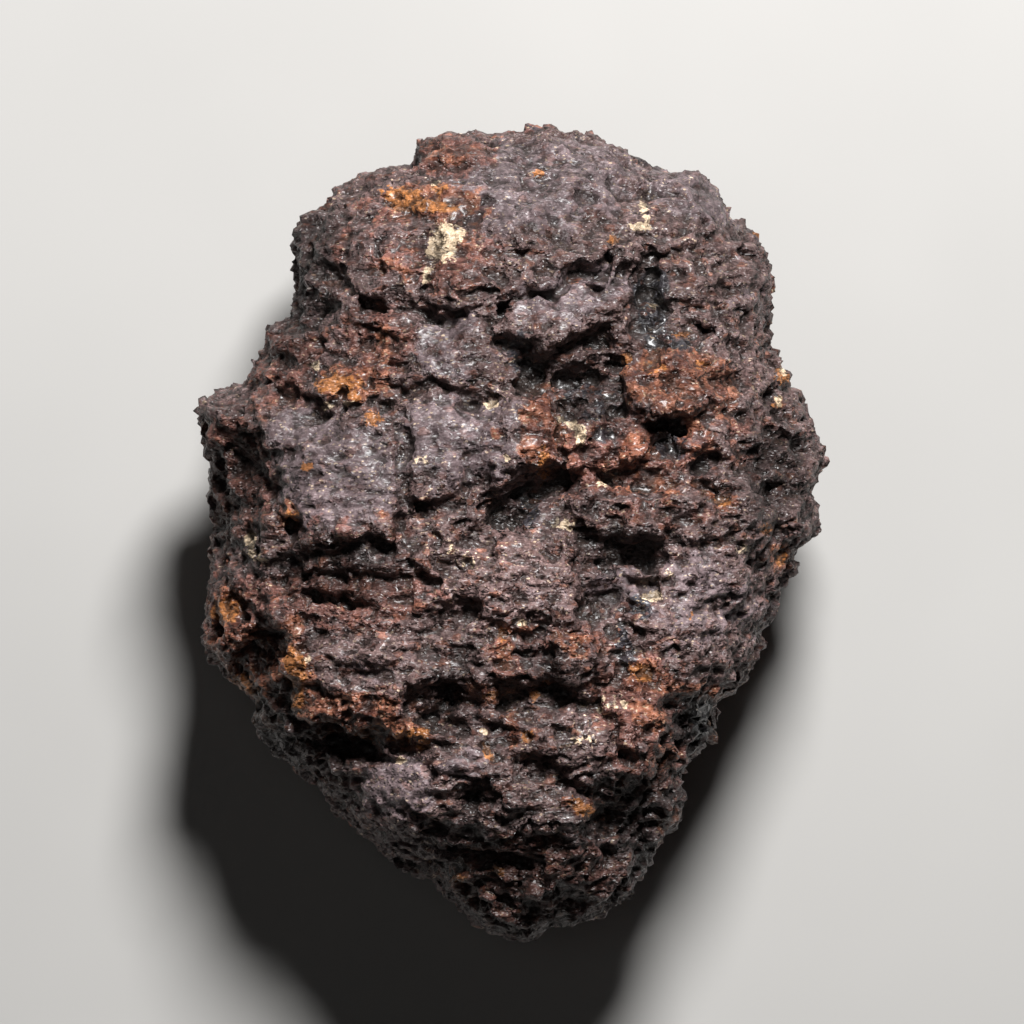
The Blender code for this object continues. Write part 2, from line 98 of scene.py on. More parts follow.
# A raised block of the face: its middle, its half sizes, its turn in degrees, how far its
# top stands over the dome, how much that changes for each millimetre across and along, and
# how much calmer than its surroundings it is
Block = namedtuple("Block", "x y half_x half_y turn lift lean_x lean_y calm", defaults=(0, 0, 0))

# A hollow: its middle, its half sizes, its turn in degrees and its depth
Hollow = namedtuple("Hollow", "x y half_x half_y turn depth")

# A crack: the points that it runs through, its half width and its depth
Crack = namedtuple("Crack", "points half_width depth")


def named_forms(kind, table):
    """The table with each of its rows made a Block, a Hollow or a Crack."""
    return {name: kind(*row) for name, row in table.items()}


BLOCKS = named_forms(Block, {
    "crown": (2, 43.5, 17, 10.8, 16, 4.6, 0, -0.1),
    "crown top left": (-6, 48.6, 7, 4.4, 0, 3.4, 0, -0.1),
    "right shoulder": (24, 43.4, 10.5, 6.4, -22, 3, 0, -0.1, 0.5),
    "right shoulder edge": (31.2, 31.5, 3.8, 8, 0, 2.2, -0.1, 0),
    "shoulder lump": (25.4, 32.2, 4.2, 3.6, 10, 2.2, 0, -0.12),
    "wedge": (8.6, 30, 8.6, 4.4, 16, 4.8, 0, -0.16, 0.7),
    "wedge left end": (0.6, 27.6, 2, 3.4, 0, 3.8, 0, -0.1),
    "block left of the wedge": (-8, 23.8, 5.8, 4.4, -6, 4, 0, -0.02, 0.5),
    "upper left block": (-17.4, 38.5, 7.2, 8.8, 8, 4.8, 0.06, -0.04),
    "lump under the crown": (-6.5, 34.6, 5.4, 4, -6, 4.6, 0, -0.04),
    "red block": (-18.4, 25, 3.6, 4.4, -8, 2.8, 0.08, 0),
    "left flank": (-24.6, 31, 2.6, 5, 10, 0.6),
    "shelf between the plates": (9.5, 18.9, 5.6, 1.6, 4, 3, 0, -0.16),
    "lower shelf": (9.6, 15.2, 4.8, 2.2, -4, 2.6, 0, -0.1),
    "red shelf, upper": (-29.6, 24.8, 3.2, 2.6, 10, 3),
    "red shelf, middle": (-32.4, 20.9, 2.2, 1.9, 30, 2.6),
    "red shelf, lower": (-27.6, 20.4, 2.6, 2.2, -10, 3.2),
    "orange crust": (-21.6, 19.4, 3.4, 2.2, 0, 4.4),
    "left horn": (-39, 15.2, 2.6, 3.2, -8, 3.6),
    "slanted slab": (-32.6, 13.4, 4, 3.6, 38, 4, 0, 0, 0.6),
    "left recess edge": (-38.2, 3, 2, 6.5, 0, 1.2),
    "centre plate, left": (-9, 11.6, 5.8, 6, -18, 4.8, 0, -0.06, 0.6),
    "centre plate, right": (0.6, 13.2, 5, 5.4, -6, 5.4, 0.04, -0.04, 0.7),
    "rust lump": (22, 19, 5.4, 3.4, -6, 5.6, 0, -0.3),
    "rust lump, left end": (17.6, 19.8, 2, 2.2, 0, 4.8),
    "first knob": (16, 10.4, 2.5, 2.7, 10, 4.5, 0, -0.1),
    "second knob": (11.2, 11, 2, 2, 0, 3.6, 0, -0.1),
    "third knob": (7.2, 11.2, 2, 3.4, 0, 3.4),
    "fourth knob": (24.4, 12.2, 2.5, 2, 20, 4.4),
    "fifth knob": (29.8, 13.2, 3, 2.6, -20, 4.2),
    "knob ridge": (27, 8.4, 3.8, 1.5, -8, 3.6),
    "right end, upper": (37.6, 12.2, 3, 5.6, 0, 3.2),
    "right end, ridge": (32.8, 17.8, 4.4, 3.6, -24, 3),
    "right end, tip": (37.8, 3.4, 2.8, 3.4, 0, 2.8),
    "right end, lower": (31.6, 4.6, 4.2, 3.2, -25, 4, 0, -0.1),
    "overhang, right": (24.4, 3.8, 4.6, 2.6, 0, 4.4, 0, -0.2),
    "overhang, middle": (17.6, 3, 3, 2.8, -10, 4.6, 0, -0.2),
    "overhang, left": (10.6, 3.4, 4.2, 2.8, -10, 4, 0, -0.08),
    "saddle ridge": (-8.6, 0.8, 3.8, 1.6, -12, 2.8),
    "left dome": (-12.2, -2.8, 3, 2, -6, 4.4),
    "lens plate": (1.2, -3.2, 4.6, 2.3, -2, 4.4, 0, -0.12, 0.5),
    "small lens plate": (7.6, -2.6, 2.2, 2.2, -12, 4.2, 0, -0.12, 0.5),
    "middle swell": (3, -8.4, 5.8, 3.2, 6, 5, 0, -0.08),
    "middle swell, left": (-6.8, -10.2, 6.2, 5.8, 0, 4.2),
    "lower left shoulder": (-35, -6.6, 3.8, 4.6, -12, 3.6),
    "lower left point": (-37.4, -13.6, 2.6, 3.6, 14, 2.4),
    "strata, upper": (-19.4, -7.6, 7.2, 1.5, -3, 3.7, 0, -0.1),
    "strata, lower": (-25.4, -10.8, 8.4, 2.2, -6, 4.6, 0, -0.12),
    "lower left body": (-18.6, -18.4, 8.6, 6.2, -8, 5.8, 0, -0.14, 0.3),
    "rusty web": (-27.4, -17.2, 1.8, 5.2, 8, 5.2),
    "rusty ledge, left": (-22.4, -24.2, 4.6, 1.6, -18, 5),
    "rusty ledge, right": (-13.4, -25.6, 3.4, 2, 12, 5.6),
    "lower knob": (-1, -16.4, 4.2, 3.8, 4, 4.8, 0, -0.1),
    "slanted lens": (9, -14.6, 4.8, 2.4, -16, 5.2, 0, -0.16),
    "right lobe": (25, -9.6, 9.4, 9.8, 14, 4.6, 0, -0.1, 0.5),
    "right lobe, top": (30.6, -2.4, 4.4, 2.6, -14, 3.4),
    "right lobe, lip": (24.6, -18.2, 5.8, 2.8, 6, 5, 0, -0.36, 0.3),
    "red dome": (17.2, -22.8, 3.9, 4.6, 14, 5.6, 0, -0.16, 0.5),
    "pitted block": (18, -29.6, 5.2, 3.6, -4, 4.8, 0, -0.18),
    "block under the saddle": (10.4, -30, 4.6, 2.6, 8, 4.4, 0, -0.24),
    "sparkling saddle": (8.4, -24.6, 5.2, 3.6, -6, 4, 0, -0.24),
    "low right point": (20.7, -35.6, 2, 3.2, 8, 3.4),
    "grey facet": (-14, -32.8, 6.2, 4.4, 10, 5.4, 0.04, -0.28, 0.85),
    "tilted facet": (-6.6, -30.2, 4.8, 2.4, 22, 5.2, 0, -0.3, 0.6),
    "ripple, first": (0.6, -34, 5.2, 2.8, -16, 4.4, 0, -0.04),
    "ripple, third": (7.6, -37, 4, 2.4, 24, 4.2, 0, -0.04),
    "ripple, fifth": (-1.6, -40.4, 3.6, 3, -30, 4.2, 0, -0.04),
    "tip, left": (-5.4, -46.4, 4.4, 2.2, -12, 3.8),
    "tip, middle": (4, -45, 3, 2.6, 30, 3.8),
    "tip, right": (13.2, -45.4, 4, 3.2, 24, 3.2),
    "rust lump, right end": (26.2, 17.4, 2, 2.6, 0, 4.6),
    "spur under the wedge": (8.8, 23.6, 1, 2.8, 62, 4.4),
    "tablet": (-22.8, 7.4, 8.8, 8.6, 4, 5.4, 0, -0.06, 0.85),
    "strata, top": (-20.4, -3.8, 6.6, 1.5, 3, 4, 0, -0.1),
    "ripple, sixth": (-8.8, -36.4, 3.6, 2.6, -20, 4.4, 0, -0.04),
    "tip, edge": (2.6, -49.6, 6, 2.6, 4, 3.2, 0, -0.08),
})

HOLLOWS = named_forms(Hollow, {
    "black cave": (17.9, 32.2, 1.9, 2.3, 0, 5.2),
    "blue-black strip": (18.4, 27.6, 2.2, 4, -8, 2.4),
    "shoulder arc": (24.4, 36.7, 3, 0.6, -26, 1.3),
    "shoulder slit": (25.3, 27.2, 2.6, 0.5, -4, 2.2),
    "upper left hole": (-18.6, 30.3, 1, 0.9, 0, 1.8),
    "crown hole": (-11.5, 31.4, 0.9, 1.1, 0, 1.6),
    "orange pocket": (-22.5, 18, 1, 0.8, 0, 3),
    "plate pocket": (-6, 16.6, 1.3, 0.9, -10, 1.2),
    "left recess": (-35.6, 6.4, 3.8, 6, 4, 3),
    "tablet hole": (-28.8, 0.8, 0.9, 0.9, 0, 2.8),
    "cavity under the rust lump": (20.8, 14.4, 3.2, 0.9, -4, 3.2),
    "blue hollow": (20.4, 11.2, 2.4, 1.6, 0, 1.8),
    "knob pit": (13, 7.2, 2, 0.9, 0, 2.2),
    "right end pit": (34.4, 10.6, 3.2, 1.9, 0, 2.4),
    "dark spot under the plate": (0.8, 3.9, 4.8, 3, 8, 3.2),
    "deep hollow": (14.4, -2.2, 5.2, 1.9, -4, 3.6),
    "lobe pit": (32.6, -4.2, 1, 0.8, 0, 1.4),
    "oval pit": (16.5, -12.5, 1.3, 0.8, 10, 1.8),
    "knob hole": (2.7, -13.3, 1.2, 1, 0, 2.8),
    "step beside the knob": (5, -18.6, 1.5, 2.4, 10, 1.8),
    "hollow by the lower knob": (-8.8, -21, 2.6, 3.2, 8, 3.4),
    "dark notch": (-0.6, -21.4, 1.5, 1.1, 0, 1.6),
    "cave": (-32.4, -16, 2.8, 3.4, 4, 4.6),
    "under the rusty ledge": (-20.6, -28.2, 6, 1.6, -10, 3),
    "rusty notch": (-13.4, -28.2, 1.8, 0.9, -8, 2.2),
    "crevice by the red dome": (21.7, -24.2, 1, 3.2, 20, 2.8),
    "block pit": (14.4, -29.4, 1.4, 1, 0, 2.4),
    "low right recess": (15.6, -36.6, 3.6, 2.4, 10, 2),
    "tip groove": (-3.6, -43.4, 4.6, 1, 0, 1.8),
    "tip cave": (-2, -46.6, 3, 1.2, 10, 1.6),
    "under the tablet": (-20.6, -5, 6.4, 3.2, -2, 1.4),
    "recess under the wedge": (6.4, 22, 7.8, 3.2, -4, 2.8),
    "pocket left of the spur": (3.4, 21.6, 2.2, 2.6, 20, 2.2),
    "pocket under the wedge's left end": (0.8, 24.4, 1.4, 1, 0, 2),
    "slot by the knobs": (25.6, 9.6, 3.4, 0.8, 16, 2.6),
    "crown pocket": (-4.2, 31.6, 1.6, 0.8, 20, 1.6),
    "strata groove": (-21, -9.4, 6, 0.5, -2, 1.2),
    "ragged step": (10.6, 17, 3.6, 0.6, 4, 1.2),
    "slot under the knobs": (10.8, 3.6, 2, 0.7, -10, 1.8),
    "slot under the first knob": (17.6, 4.2, 1.3, 0.6, 0, 1.6),
    "crack in the lobe": (17.6, -6.6, 3, 0.5, -28, 1.2),
})

CRACKS = named_forms(Crack, {
    "crown ledge": ([(-1, 30), (3, 31.5), (8, 33.6), (13, 36.2)], 0.8, 3),
    "shoulder ledge": ([(13, 36.2), (16, 37), (19, 36.4)], 0.6, 1.6),
    "plate's upper edge": ([(-14, 18.8), (-6, 18.4)], 0.5, 0.8),
    "plate's right edge": ([(5.8, 6), (5.9, 12.6), (6.6, 17)], 0.5, 1.6),
    "blue groove": ([(13.4, -12.6), (14.4, -16), (15.4, -18.4)], 0.6, 1.5),
    "shelf's upper edge": ([(4, 18.6), (13.6, 19.6)], 0.6, 1.6),
    "crown ledge, left": ([(-12, 29.2), (-7, 28.2), (-3, 28.4)], 0.5, 1.2),
    "tablet's right edge": ([(-14.4, 14), (-14.2, 8), (-14, 2)], 0.5, 1.4),
})

# A zone or stain: where it lies, its half sizes, its turn in degrees and how strong it is
Stain = namedtuple("Stain", "x y half_x half_y turn strength", defaults=(0, 1))


def stains(*rows):
    """A Stain for each row."""
    return [Stain(*row) for row in rows]


# Zones of smooth grey rind
SMOOTH_GREY = stains(
    (4, 45, 15, 7, 8, 0.8), (24, 44, 8, 4, -20, 0.8), (8, 31, 8, 3.5, 12, 0.9),
    (-8, 24, 6, 5, 0, 0.7), (-7, 12, 8, 6), (1, 14, 4, 4, 0, 0.6), (-23, 7.4, 8.4, 7.6),
    (-29, 14, 4, 2, 40), (25, -9, 9, 8, 0, 0.6), (15.6, -22.4, 3, 3, 0, 0.7),
    (14, -7, 5, 2.5, 0, 0.9), (3, -8, 6, 3, 0, 0.4), (-14.5, -33, 5, 4, 8),
    (-6, -30, 4, 2, 22, 0.8), (-17, -17, 8, 4, -8, 0.5), (30, 32, 4, 7, 0, 0.4),
)

# Zones of rough red-brown rind
RED_BROWN = stains(
    (-18, 38, 8, 8, 0, 0.5), (-8, 34, 6, 4, 0, 0.7), (-17, 25, 5, 5, 0, 0.8),
    (-30, 22, 6, 6, 0, 0.8), (-36, 7, 5, 9), (-21, 0, 8, 3, 0, 0.5), (3, 9, 3, 5, 0, 0.6),
    (3, -45, 12, 6, 0, 0.9), (-22, -8, 12, 5, 0, 0.8), (14, 10, 10, 6, 0, 0.8),
    (20, 3, 12, 4, 0, 0.5), (-36, -16, 7, 11), (-20, -24, 9, 4, -12, 0.7), (1, -16, 6, 5, 0, 0.6),
    (16, -22, 6, 6), (18, -30, 6, 5, 0, 0.7), (-8, 49, 6, 3, 0, 0.8), (9, -14, 5, 3, -16, 0.6),
    (31, 12, 6, 5, 0, 0.5), (-4, 38, 4, 4, 0, 0.4),
)

# Rusty stains
RUST = stains(
    (22, 19, 7.5, 4.2, -8), (16, 10.2, 3.2, 3.4, 0, 0.7), (11.2, 9.6, 2.2, 2, 0, 0.5),
    (7.2, 9.6, 2, 3.6, 0, 0.35), (24.6, 12, 3, 2.2, 0, 0.7), (3.6, 13, 2.8, 5.6, -6, 0.9),
    (-21, 19.4, 4.6, 2.4, 0, 0.9), (-30, 20, 3.5, 4.5, 0, 0.4), (-11.8, 50.3, 1.4, 1.4),
    (-7.6, 49.2, 3.4, 1.2, 8), (-2, 52.4, 1, 0.8), (-10, 43, 6.5, 2.4, -6, 0.8),
    (-8, 39, 3.4, 3.2, 0, 0.6), (-16, 33, 4, 3, 0, 0.4), (-18, 24, 3, 4, 0, 0.5),
    (-18, 2, 2.6, 1.6, 0, 0.4), (-29, 2.3, 1.6, 1.6, 0, 0.9), (-28.4, -17.5, 2.6, 6.2, 6),
    (-35.5, -17, 4.6, 6.4), (-32, -24.5, 1.6, 1.6), (-21, -23.6, 8.4, 3, -14),
    (-13.2, -26.6, 3.2, 1.6, 10), (-37, -9.5, 2.4, 3, 0, 0.7),
    (-3, -20.6, 3, 1.4, 0, 0.9), (-0.8, -14.8, 1, 2.6, 0, 0.9),
    (8.6, -14.6, 4.2, 2, -16, 0.6), (17.8, -23, 3.6, 4.4, 10, 0.5), (16.6, -18.6, 2.6, 1.8),
    (23.5, -20.6, 5, 1.2, -4, 0.9), (26.8, -25.6, 1.2, 3.2, -10),
    (17.5, -29, 4, 3, 0, 0.5), (20.5, -37, 1.6, 2.4, 0, 0.7),
    (9.4, -35.6, 3.4, 1.8, -20, 0.8), (-7.2, -44.8, 1.8, 1.2, 0, 0.8),
    (-2, -43.8, 1.4, 1, 0, 0.9), (20, 6, 8, 2.4, -6, 0.5), (27.6, 4, 1.8, 1.2, 0, 0.9),
    (34.8, -3.2, 1.4, 2, 0, 0.9), (-1.8, 13, 1.2, 0.8, 0, 0.9), (8, 33, 1.4, 0.8, 30, 0.8),
    (0.2, -25.4, 1.2, 2.2, 0, 0.8), (2.4, -12.6, 1.6, 0.8),
)

# Orange crusts
ORANGE = stains(
    (-13.8, 43.2, 2.6, 1.3, -14), (-9.6, 42.3, 2.2, 0.7, -4), (-9.4, 44.6, 1, 0.6, 0, 0.8),
    (-22.4, 19.2, 2.6, 1.2, 0, 0.9), (-20.2, 17.8, 1, 0.7, 0, 0.9),
    (-18, 14.8, 1, 0.8, 0, 0.9), (-26.6, 8.6, 0.7, 0.5), (-28.4, 2.2, 0.9, 0.7, 0, 0.7),
    (-37.3, -10, 1.8, 1.4, 20), (-35, -21, 1.6, 2.4, 20, 0.9), (-28, -17.6, 1.2, 2.4, 10),
    (-27.8, -22, 0.8, 1.2, 0, 0.9), (-18.4, -25.9, 1.6, 0.8, 20), (-13, -26.2, 2.2, 0.7, 12),
    (-11.4, -27.4, 0.7, 0.6), (18.4, 21.2, 2, 1, 0, 0.5), (24.8, 21.6, 1, 0.8, 0, 0.6),
    (22, 25.7, 1.2, 0.4, 0, 0.9), (14.8, 22.5, 0.8, 0.7, 0, 0.8), (13, 38, 0.5, 0.6),
    (3.5, 46.6, 0.7, 0.5, 0, 0.9), (4, 8.8, 0.8, 2, 0, 0.8), (16.6, -18, 1.4, 0.9, -20),
    (3, -20.8, 0.6, 0.8, 0, 0.9), (4.4, -19.6, 0.6, 0.6, 0, 0.9), (2, -26.4, 0.7, 0.7),
    (9.2, -35.6, 1.6, 0.8, -30), (-2, -20.9, 1.8, 0.4, 4, 0.8), (-1.3, -13, 0.5, 1, 0, 0.8),
    (27.4, 4.1, 0.9, 0.6), (35, -3.2, 0.7, 1), (33, 0.5, 0.8, 0.6, 0, 0.9),
    (26.9, -26.2, 0.6, 1.8, -14, 0.8), (-3, -28.4, 0.5, 1.4, 40, 0.9), (-7, -44.9, 0.8, 0.5),
    (-1.8, -43.8, 0.7, 0.5), (23, -11, 0.6, 0.5, 0, 0.7), (35.4, 20.6, 0.9, 1.1),
    (34.6, 17, 0.7, 0.7, 0, 0.7),
)

# Cream, chalky crusts
CREAM = stains(
    (-8.8, 37.6, 1.7, 2.2, -20), (-10.8, 33.6, 0.6, 1.4, -20, 0.9), (-7, 38.6, 0.9, 0.8),
    (16.8, 39.7, 1.3, 0.5), (17, 42, 0.5, 1.4, 0, 0.8), (17.4, 40.6, 0.5, 0.7, 0, 0.8),
    (35.5, 21.2, 0.5, 0.8), (34.6, 17.2, 0.4, 0.5), (8.8, 12.4, 0.6, 1.4),
    (7.8, 14, 0.8, 0.5, 0, 0.8), (11.6, 6.4, 0.8, 0.5, 0, 0.8), (6.2, 14.6, 0.4, 0.5, 0, 0.8),
    (-2.7, 16.5, 0.8, 0.5), (-24, 16.4, 0.7, 0.4), (-21.2, 16.7, 0.6, 0.3),
    (-25.4, 21.6, 0.5, 0.5), (-34, -1, 0.7, 0.9, -20), (-33, -3.2, 1.6, 0.4, -20, 0.8),
    (-26.4, -16.3, 0.5, 0.5, 0, 0.8), (-14.4, -29.5, 0.7, 0.4), (18.2, -8.2, 1.2, 0.6),
    (20.2, -5.4, 0.6, 0.7, 0, 0.7), (30, -2.2, 0.9, 0.5, 0, 0.8),
    (-6.4, -3.4, 2.4, 1, -20, 0.4), (6.8, 1, 2, 0.7, 0, 0.7),
    (9, -27, 2.4, 0.8, 10, 0.5), (12, -22.6, 3, 1.4, 0, 0.5), (1.3, -11.6, 0.6, 0.4),
    (-0.7, 9.6, 0.4, 0.4), (-10, 45.4, 0.5, 0.4), (-9, -0.8, 1.6, 0.5, -26, 0.4),
    (-12, 9.4, 1.8, 0.6, 0, 0.5), (-3.6, -25.6, 0.6, 0.5, 0, 0.8), (18.4, 29.4, 0.3, 0.4),
)

# Where the glassy blue-black film lies, partly painted shade in recesses under ledges
BLUE_BLACK_FILM_AND_SHADE = stains(
    (18, 30, 2.4, 5.5), (20, 24.6, 4, 1.6, 0, 0.8), (20.4, 11.4, 3, 2, 0, 0.9),
    (12, 12.6, 2, 1.4, 0, 0.7), (14.8, -15.6, 1.2, 4, 10), (15.6, -9.6, 3, 2, 0, 0.7),
    (24.5, -24.5, 2.2, 3, 0, 0.8), (10.6, 16.8, 4.8, 3.2, 0, 0.6), (2, 3, 4, 2.4, 0, 0.6),
    (1, 23, 1.6, 3.4, 0, 0.7),
)

# Painted shade: the rind is painted darker in recesses, under ledges and at the lower tip
PAINTED_SHADE_ZONES = stains(
    (4, -46, 14, 8, 0, 0.85), (17.5, -39, 8, 9), (34, 8, 4.4, 7, 0, 0.8), (-32, -28, 5, 9),
    (-36, 6, 4.5, 8, 0, 0.7), (10.6, 16.6, 5, 4, 0, 0.7), (6, 22, 8, 3.6, 0, 0.5),
    (35, 11, 3, 2.6, 0, 0.9), (-22, -4.8, 8.4, 4.2), (14, -1.6, 6, 2.6, 0, 0.9),
    (-8.4, -20.6, 3, 4, 0, 0.9), (5.2, -18.4, 2.4, 4.4, 0, 0.8), (-22, -27.6, 6, 3, -6, 0.9),
    (23.6, -24.4, 3.4, 4.6, 0, 0.9), (18, 29, 2.6, 6, 0, 0.6), (1, 4.9, 4.6, 3.2, 0, 0.4),
    (20.5, 14.2, 4, 1.4, 0, 0.8), (-27.6, 34, 4.4, 11, -8), (-4, -38, 5, 6, 0, 0.5),
    (-1, -21.5, 2.4, 3, 0, 0.7), (13, 7.4, 2.4, 1.2, 0, 0.7),
)

# Where the rind is painted paler: partly paler rind, partly painted light on faces leaning from the
# key
PALE_RIND_AND_PAINTED_LIGHT = stains(
    (-23, 3.4, 6, 2.6, 0, 0.8), (-23, 9.6, 8, 6, 0, 0.1), (-6, 12, 8, 6, 0, 0.35),
    (8, 30, 8, 3.4, 14, 0.3), (10, 45, 10, 6, 0, 0.2), (24, 44, 7, 4, -20, 0.05),
    (-18, -16, 9, 7, -8, 0.52), (-14.5, -33, 6, 4.6, 8), (22, -9, 13, 8, 4, 0.65),
    (28, -18, 6, 2.4, 14, 0.59), (-1, -6, 11, 6.4, 0, 0.7), (13, -25, 7, 5, 0, 0.45),
    (21.5, 20, 6, 3.4, -6, 0.1), (-16, 40, 5, 6, 0, 0.33), (4, 10, 2.4, 6, 0, 0.26),
    (-6, -30, 4, 2, 22, 0.45), (31, 21, 3.4, 4, 0, 0.33), (-34, -10, 5, 4, 0, 0.26),
    (12, 9.6, 6, 3.4, 0, 0.6), (24, 12, 3.4, 3, 0, 0.7), (17, -22.8, 4, 4.6, 0, 0.3),
)

# What each zone or stain is made of: its places, how soft its edges are, and on the sides and
# the back, which are left to chance, its size and how rare it is
ZONES = {
    "grey": (SMOOTH_GREY, 0.7, 16.0, 0.05),
    "red_brown": (RED_BROWN, 0.7, 12.0, 0.02),
    "rust": (RUST, 0.8, 8.0, 0.42),
    "orange": (ORANGE, 1.1, 5.0, 0.62),
    "cream": (CREAM, 1.1, 4.0, 0.72),
    "blue_black": (BLUE_BLACK_FILM_AND_SHADE, 0.6, 9.0, 0.50),
    "sooty": (PAINTED_SHADE_ZONES, 0.7, 14.0, 0.10),
    "pale": (PALE_RIND_AND_PAINTED_LIGHT, 0.7, 11.0, 0.20),
}

# A noise below is its size, or its sizes along x, y and z, and where in the endless pattern it
# starts, so that no two are alike

# The body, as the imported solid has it
RIM_HEIGHT = 24.0
DOME_HEIGHT = 48.5
REST_DEPTH = 2.0
FACE_SQUARENESS = 2.5
BACK_SQUARENESS = 2.45

# The levels of a ball of radius 1 between which each part of the body begins
UNDERSIDE_LEVELS = (0.03, 0.30)
EVEN_TOP_LEVELS = (0.2, 0.6)
FACE_LEVELS = (0.02, 0.28)
BACK_LEVELS = (0.10, 0.45)

# The rim rises and falls along the outline, by about half of this; the noise is on a circle of 1
RIM_SWING = 6.0
RIM_SWING_NOISE = (0.7, 5.1)

# The outline's notches are evened out over this many degrees each way below the rim, where the
# body also draws in, and for a part of their depth on the face
NOTCH_SPREAD = 14.0
NOTCH_SAMPLES = 9
UNDERSIDE_INSET = 1.0
FACE_EVENNESS = 0.7

# How steeply a block's sides fall, how square its footprint is, and how far and how late its
# top rounds off
WALL_SLOPE = 1.6
BLOCK_SQUARENESS = 2.7
BLOCK_CROWN = 0.9
BLOCK_CROWN_POWER = 4

# How wide a hollow's sides are, as a share of its half size
HOLLOW_LIP = 0.4

# Where a crack's sides start and end, in its half widths
CRACK_TOP = 1.5
CRACK_FOOT = 0.3

# How far the floor of the gaps between blocks stands over the dome
GAP_LIFT = 2.8

# How far the blocks' edges wander, and their noises across and along the stone
WANDERS = [
    (2.6, (9.0, 11.3), (9.0, 47.9)),
    (1.8, (3.4, 12.3), (3.4, 48.9)),
]

# Gentle swells over all of it
SWELL = 1.5
SWELL_NOISE = (6.0, 71.3)

# Lumps of rubble: their size, relief, crevices, how far and how often their walls bend, how far
# apart their lifts are drawn, and how much of them the face has
RUBBLE_SIZE = 13.0
RUBBLE_RELIEF = 3.0
CREVICE_DEPTH = 1.5
CREVICE_WIDTH = 0.22
RUBBLE_BEND = (0.35, 1.7)
LIFT_SPREAD = 9.7
FACE_RUBBLE_SHARE = 0.2

# The seed of the noise that bends the lumps' walls, so that each run gives the same stone
NOISE_SEED = 1795635302

# Crags: their noise, the height of their crests and how far they fall, for a relief of 1
CRAG_NOISE = ((8.0, 4.6, 5.4), 3.1)
CRAG_CREST = 0.4
CRAG_FALL = 2.0

# The crust's crests: their size across, along and upwards, the settings of their fractal noise
# (smoothness, step in size, number of sizes, offset and gain), and its mean
CREST_SIZE = (2.9, 1.5, 2.1)
CREST_FRACTAL = (0.9, 2.2, 3, 1.0, 1.8)
CREST_MEAN = 0.9

# The broken faces: their sizes, how they are squeezed in x, y and z, how far and how often their
# edges bend, and how wide the grooves between them are
CHIP_SIZES = (3.2, 1.4)
CHIP_SQUEEZE = (0.8, 1.35, 1.1)
CHIP_BEND = (0.25, 1.9)
CHIP_GROOVE = 0.18

# The layers' direction: they crop out across the face and step down towards its lower end
BEDDING = np.array([0.08, 0.84, 0.54])

# How far the layers bend, in layers, and the noises of that
LAYER_BEND = 1.5
LAYER_BEND_NOISE = (9.0, 5.7)
SMALL_LAYER_BEND = 0.55
SMALL_LAYER_BEND_NOISE = (3.1, 8.3)

# Where the layers show: the noise of it, how much of them shows at its middle, and how much more
# for a noise of 1
LAYER_PATCH_NOISE = (6.5, 21.9)
LAYER_PATCH_MIDDLE = 0.6
LAYER_PATCH_GAIN = 1.5

# The share of a layer that its ledge rises over, and its mean height
LEDGE_WIDTH = 0.22
LEDGE_MEAN = 0.4

# The knobbly grains: their size, where their surface is level with the rest, how high they stand
# on bare rind and, on top of that, on rust and orange, and how soft the edges of those are
GRAIN_SIZE = 1.2
GRAIN_LEVEL = 0.45
GRAIN_SHARE = 0.35
STAINED_GRAIN_SHARE = 0.9
RUST_GRAIN_EDGE = 0.6
ORANGE_GRAIN_EDGE = 0.8

# The small pits: their noise, and its values where they begin and are deepest
PIT_NOISE = ((2.0, 1.5, 1.8), 33.1)
PIT_LIMITS = (0.36, 0.66)

# How much of the crust smooth grey rind lacks, and how soft the edges of that are
GREY_CALM = 0.4
CALM_EDGE = 0.5

# Stains wrap round the edge of the face below this height
WALL_TOP = 29.0

# How far above and below the rim the stains of the face fade out, how square a stain is, and the
# share of its half size that is at full strength
FACE_EDGE = 4.0
STAIN_SQUARENESS = 2.0
STAIN_CORE = 0.4

# On the sides and the back: where the noise of a zone starts, and how much further on for each
# letter of its name; the same for small stains, and their share of the size of the big ones; and
# how far above its limit the noise makes a stain of full strength
ZONE_START = 3.0
ZONE_START_STEP = 7.7
SMALL_STAIN_START = 61.0
SMALL_STAIN_SHARE = 0.4
STAIN_RISE = 0.3

# How often the surface is smoothed to find small hollows, and broad ones
FINE_ROUNDS = 5
BROAD_ROUNDS = 60

# Where nearly all of a noise pattern's values lie
USUAL_NOISE = (0.3, 0.7)

# The rind's mottle: the size of its spots in millimetres, its detail and its roughness
BROAD_GRAIN = (3.0, 3.5, 0.65)
FINE_GRAIN = (0.9, 2.0, 0.6)
CRYSTAL_GRAIN = (1.6, 1.5, 0.5)

# The crystal grains that are too small for the mesh: their sizes and how steep their faces are
CRYSTALS = ((0.95, 1.0), (0.28, 1.5))

# How the crystal grains are squeezed in x, y and z, and their turn about z in radians
CRYSTAL_SQUEEZE = (0.75, 1.35, 1.2)
CRYSTAL_TURN = 0.14

# A stain's ragged edge: how much the mottle moves it, between which sums of the two it lies, and
# up to which amount of stain there is none
RAGGED_GAIN = 1.7
RAGGED_EDGE = (1.30, 1.50)
RAGGED_FADE = (0.02, 0.25)

# How much of the rind a stain hides where it is full
RED_BROWN_COVER = 0.75
STAIN_COVER = 0.85

# Below the smoothed surface, in millimetres: where the painted shade of small and of broad
# hollows begins and is full, and how dark that painted shade is
FINE_HOLLOW = (0.03, 0.25)
FINE_HOLLOW_SHADE = 0.68
BROAD_HOLLOW = (0.35, 1.6)
BROAD_HOLLOW_SHADE = 0.9

# Crests that stand out by 0.15 mm are paler than the rest
CREST = (-0.15, 0.02)
CREST_TONE = 1.3

# How glossy the blue-black film and the rust are, and the roughness of that gloss and of the rind
FILM_GLOSS = 0.6
RUST_GLOSS = 0.32
GLOSS_ROUGHNESS = 0.25
RIND_ROUGHNESS = (0.38, 0.60)


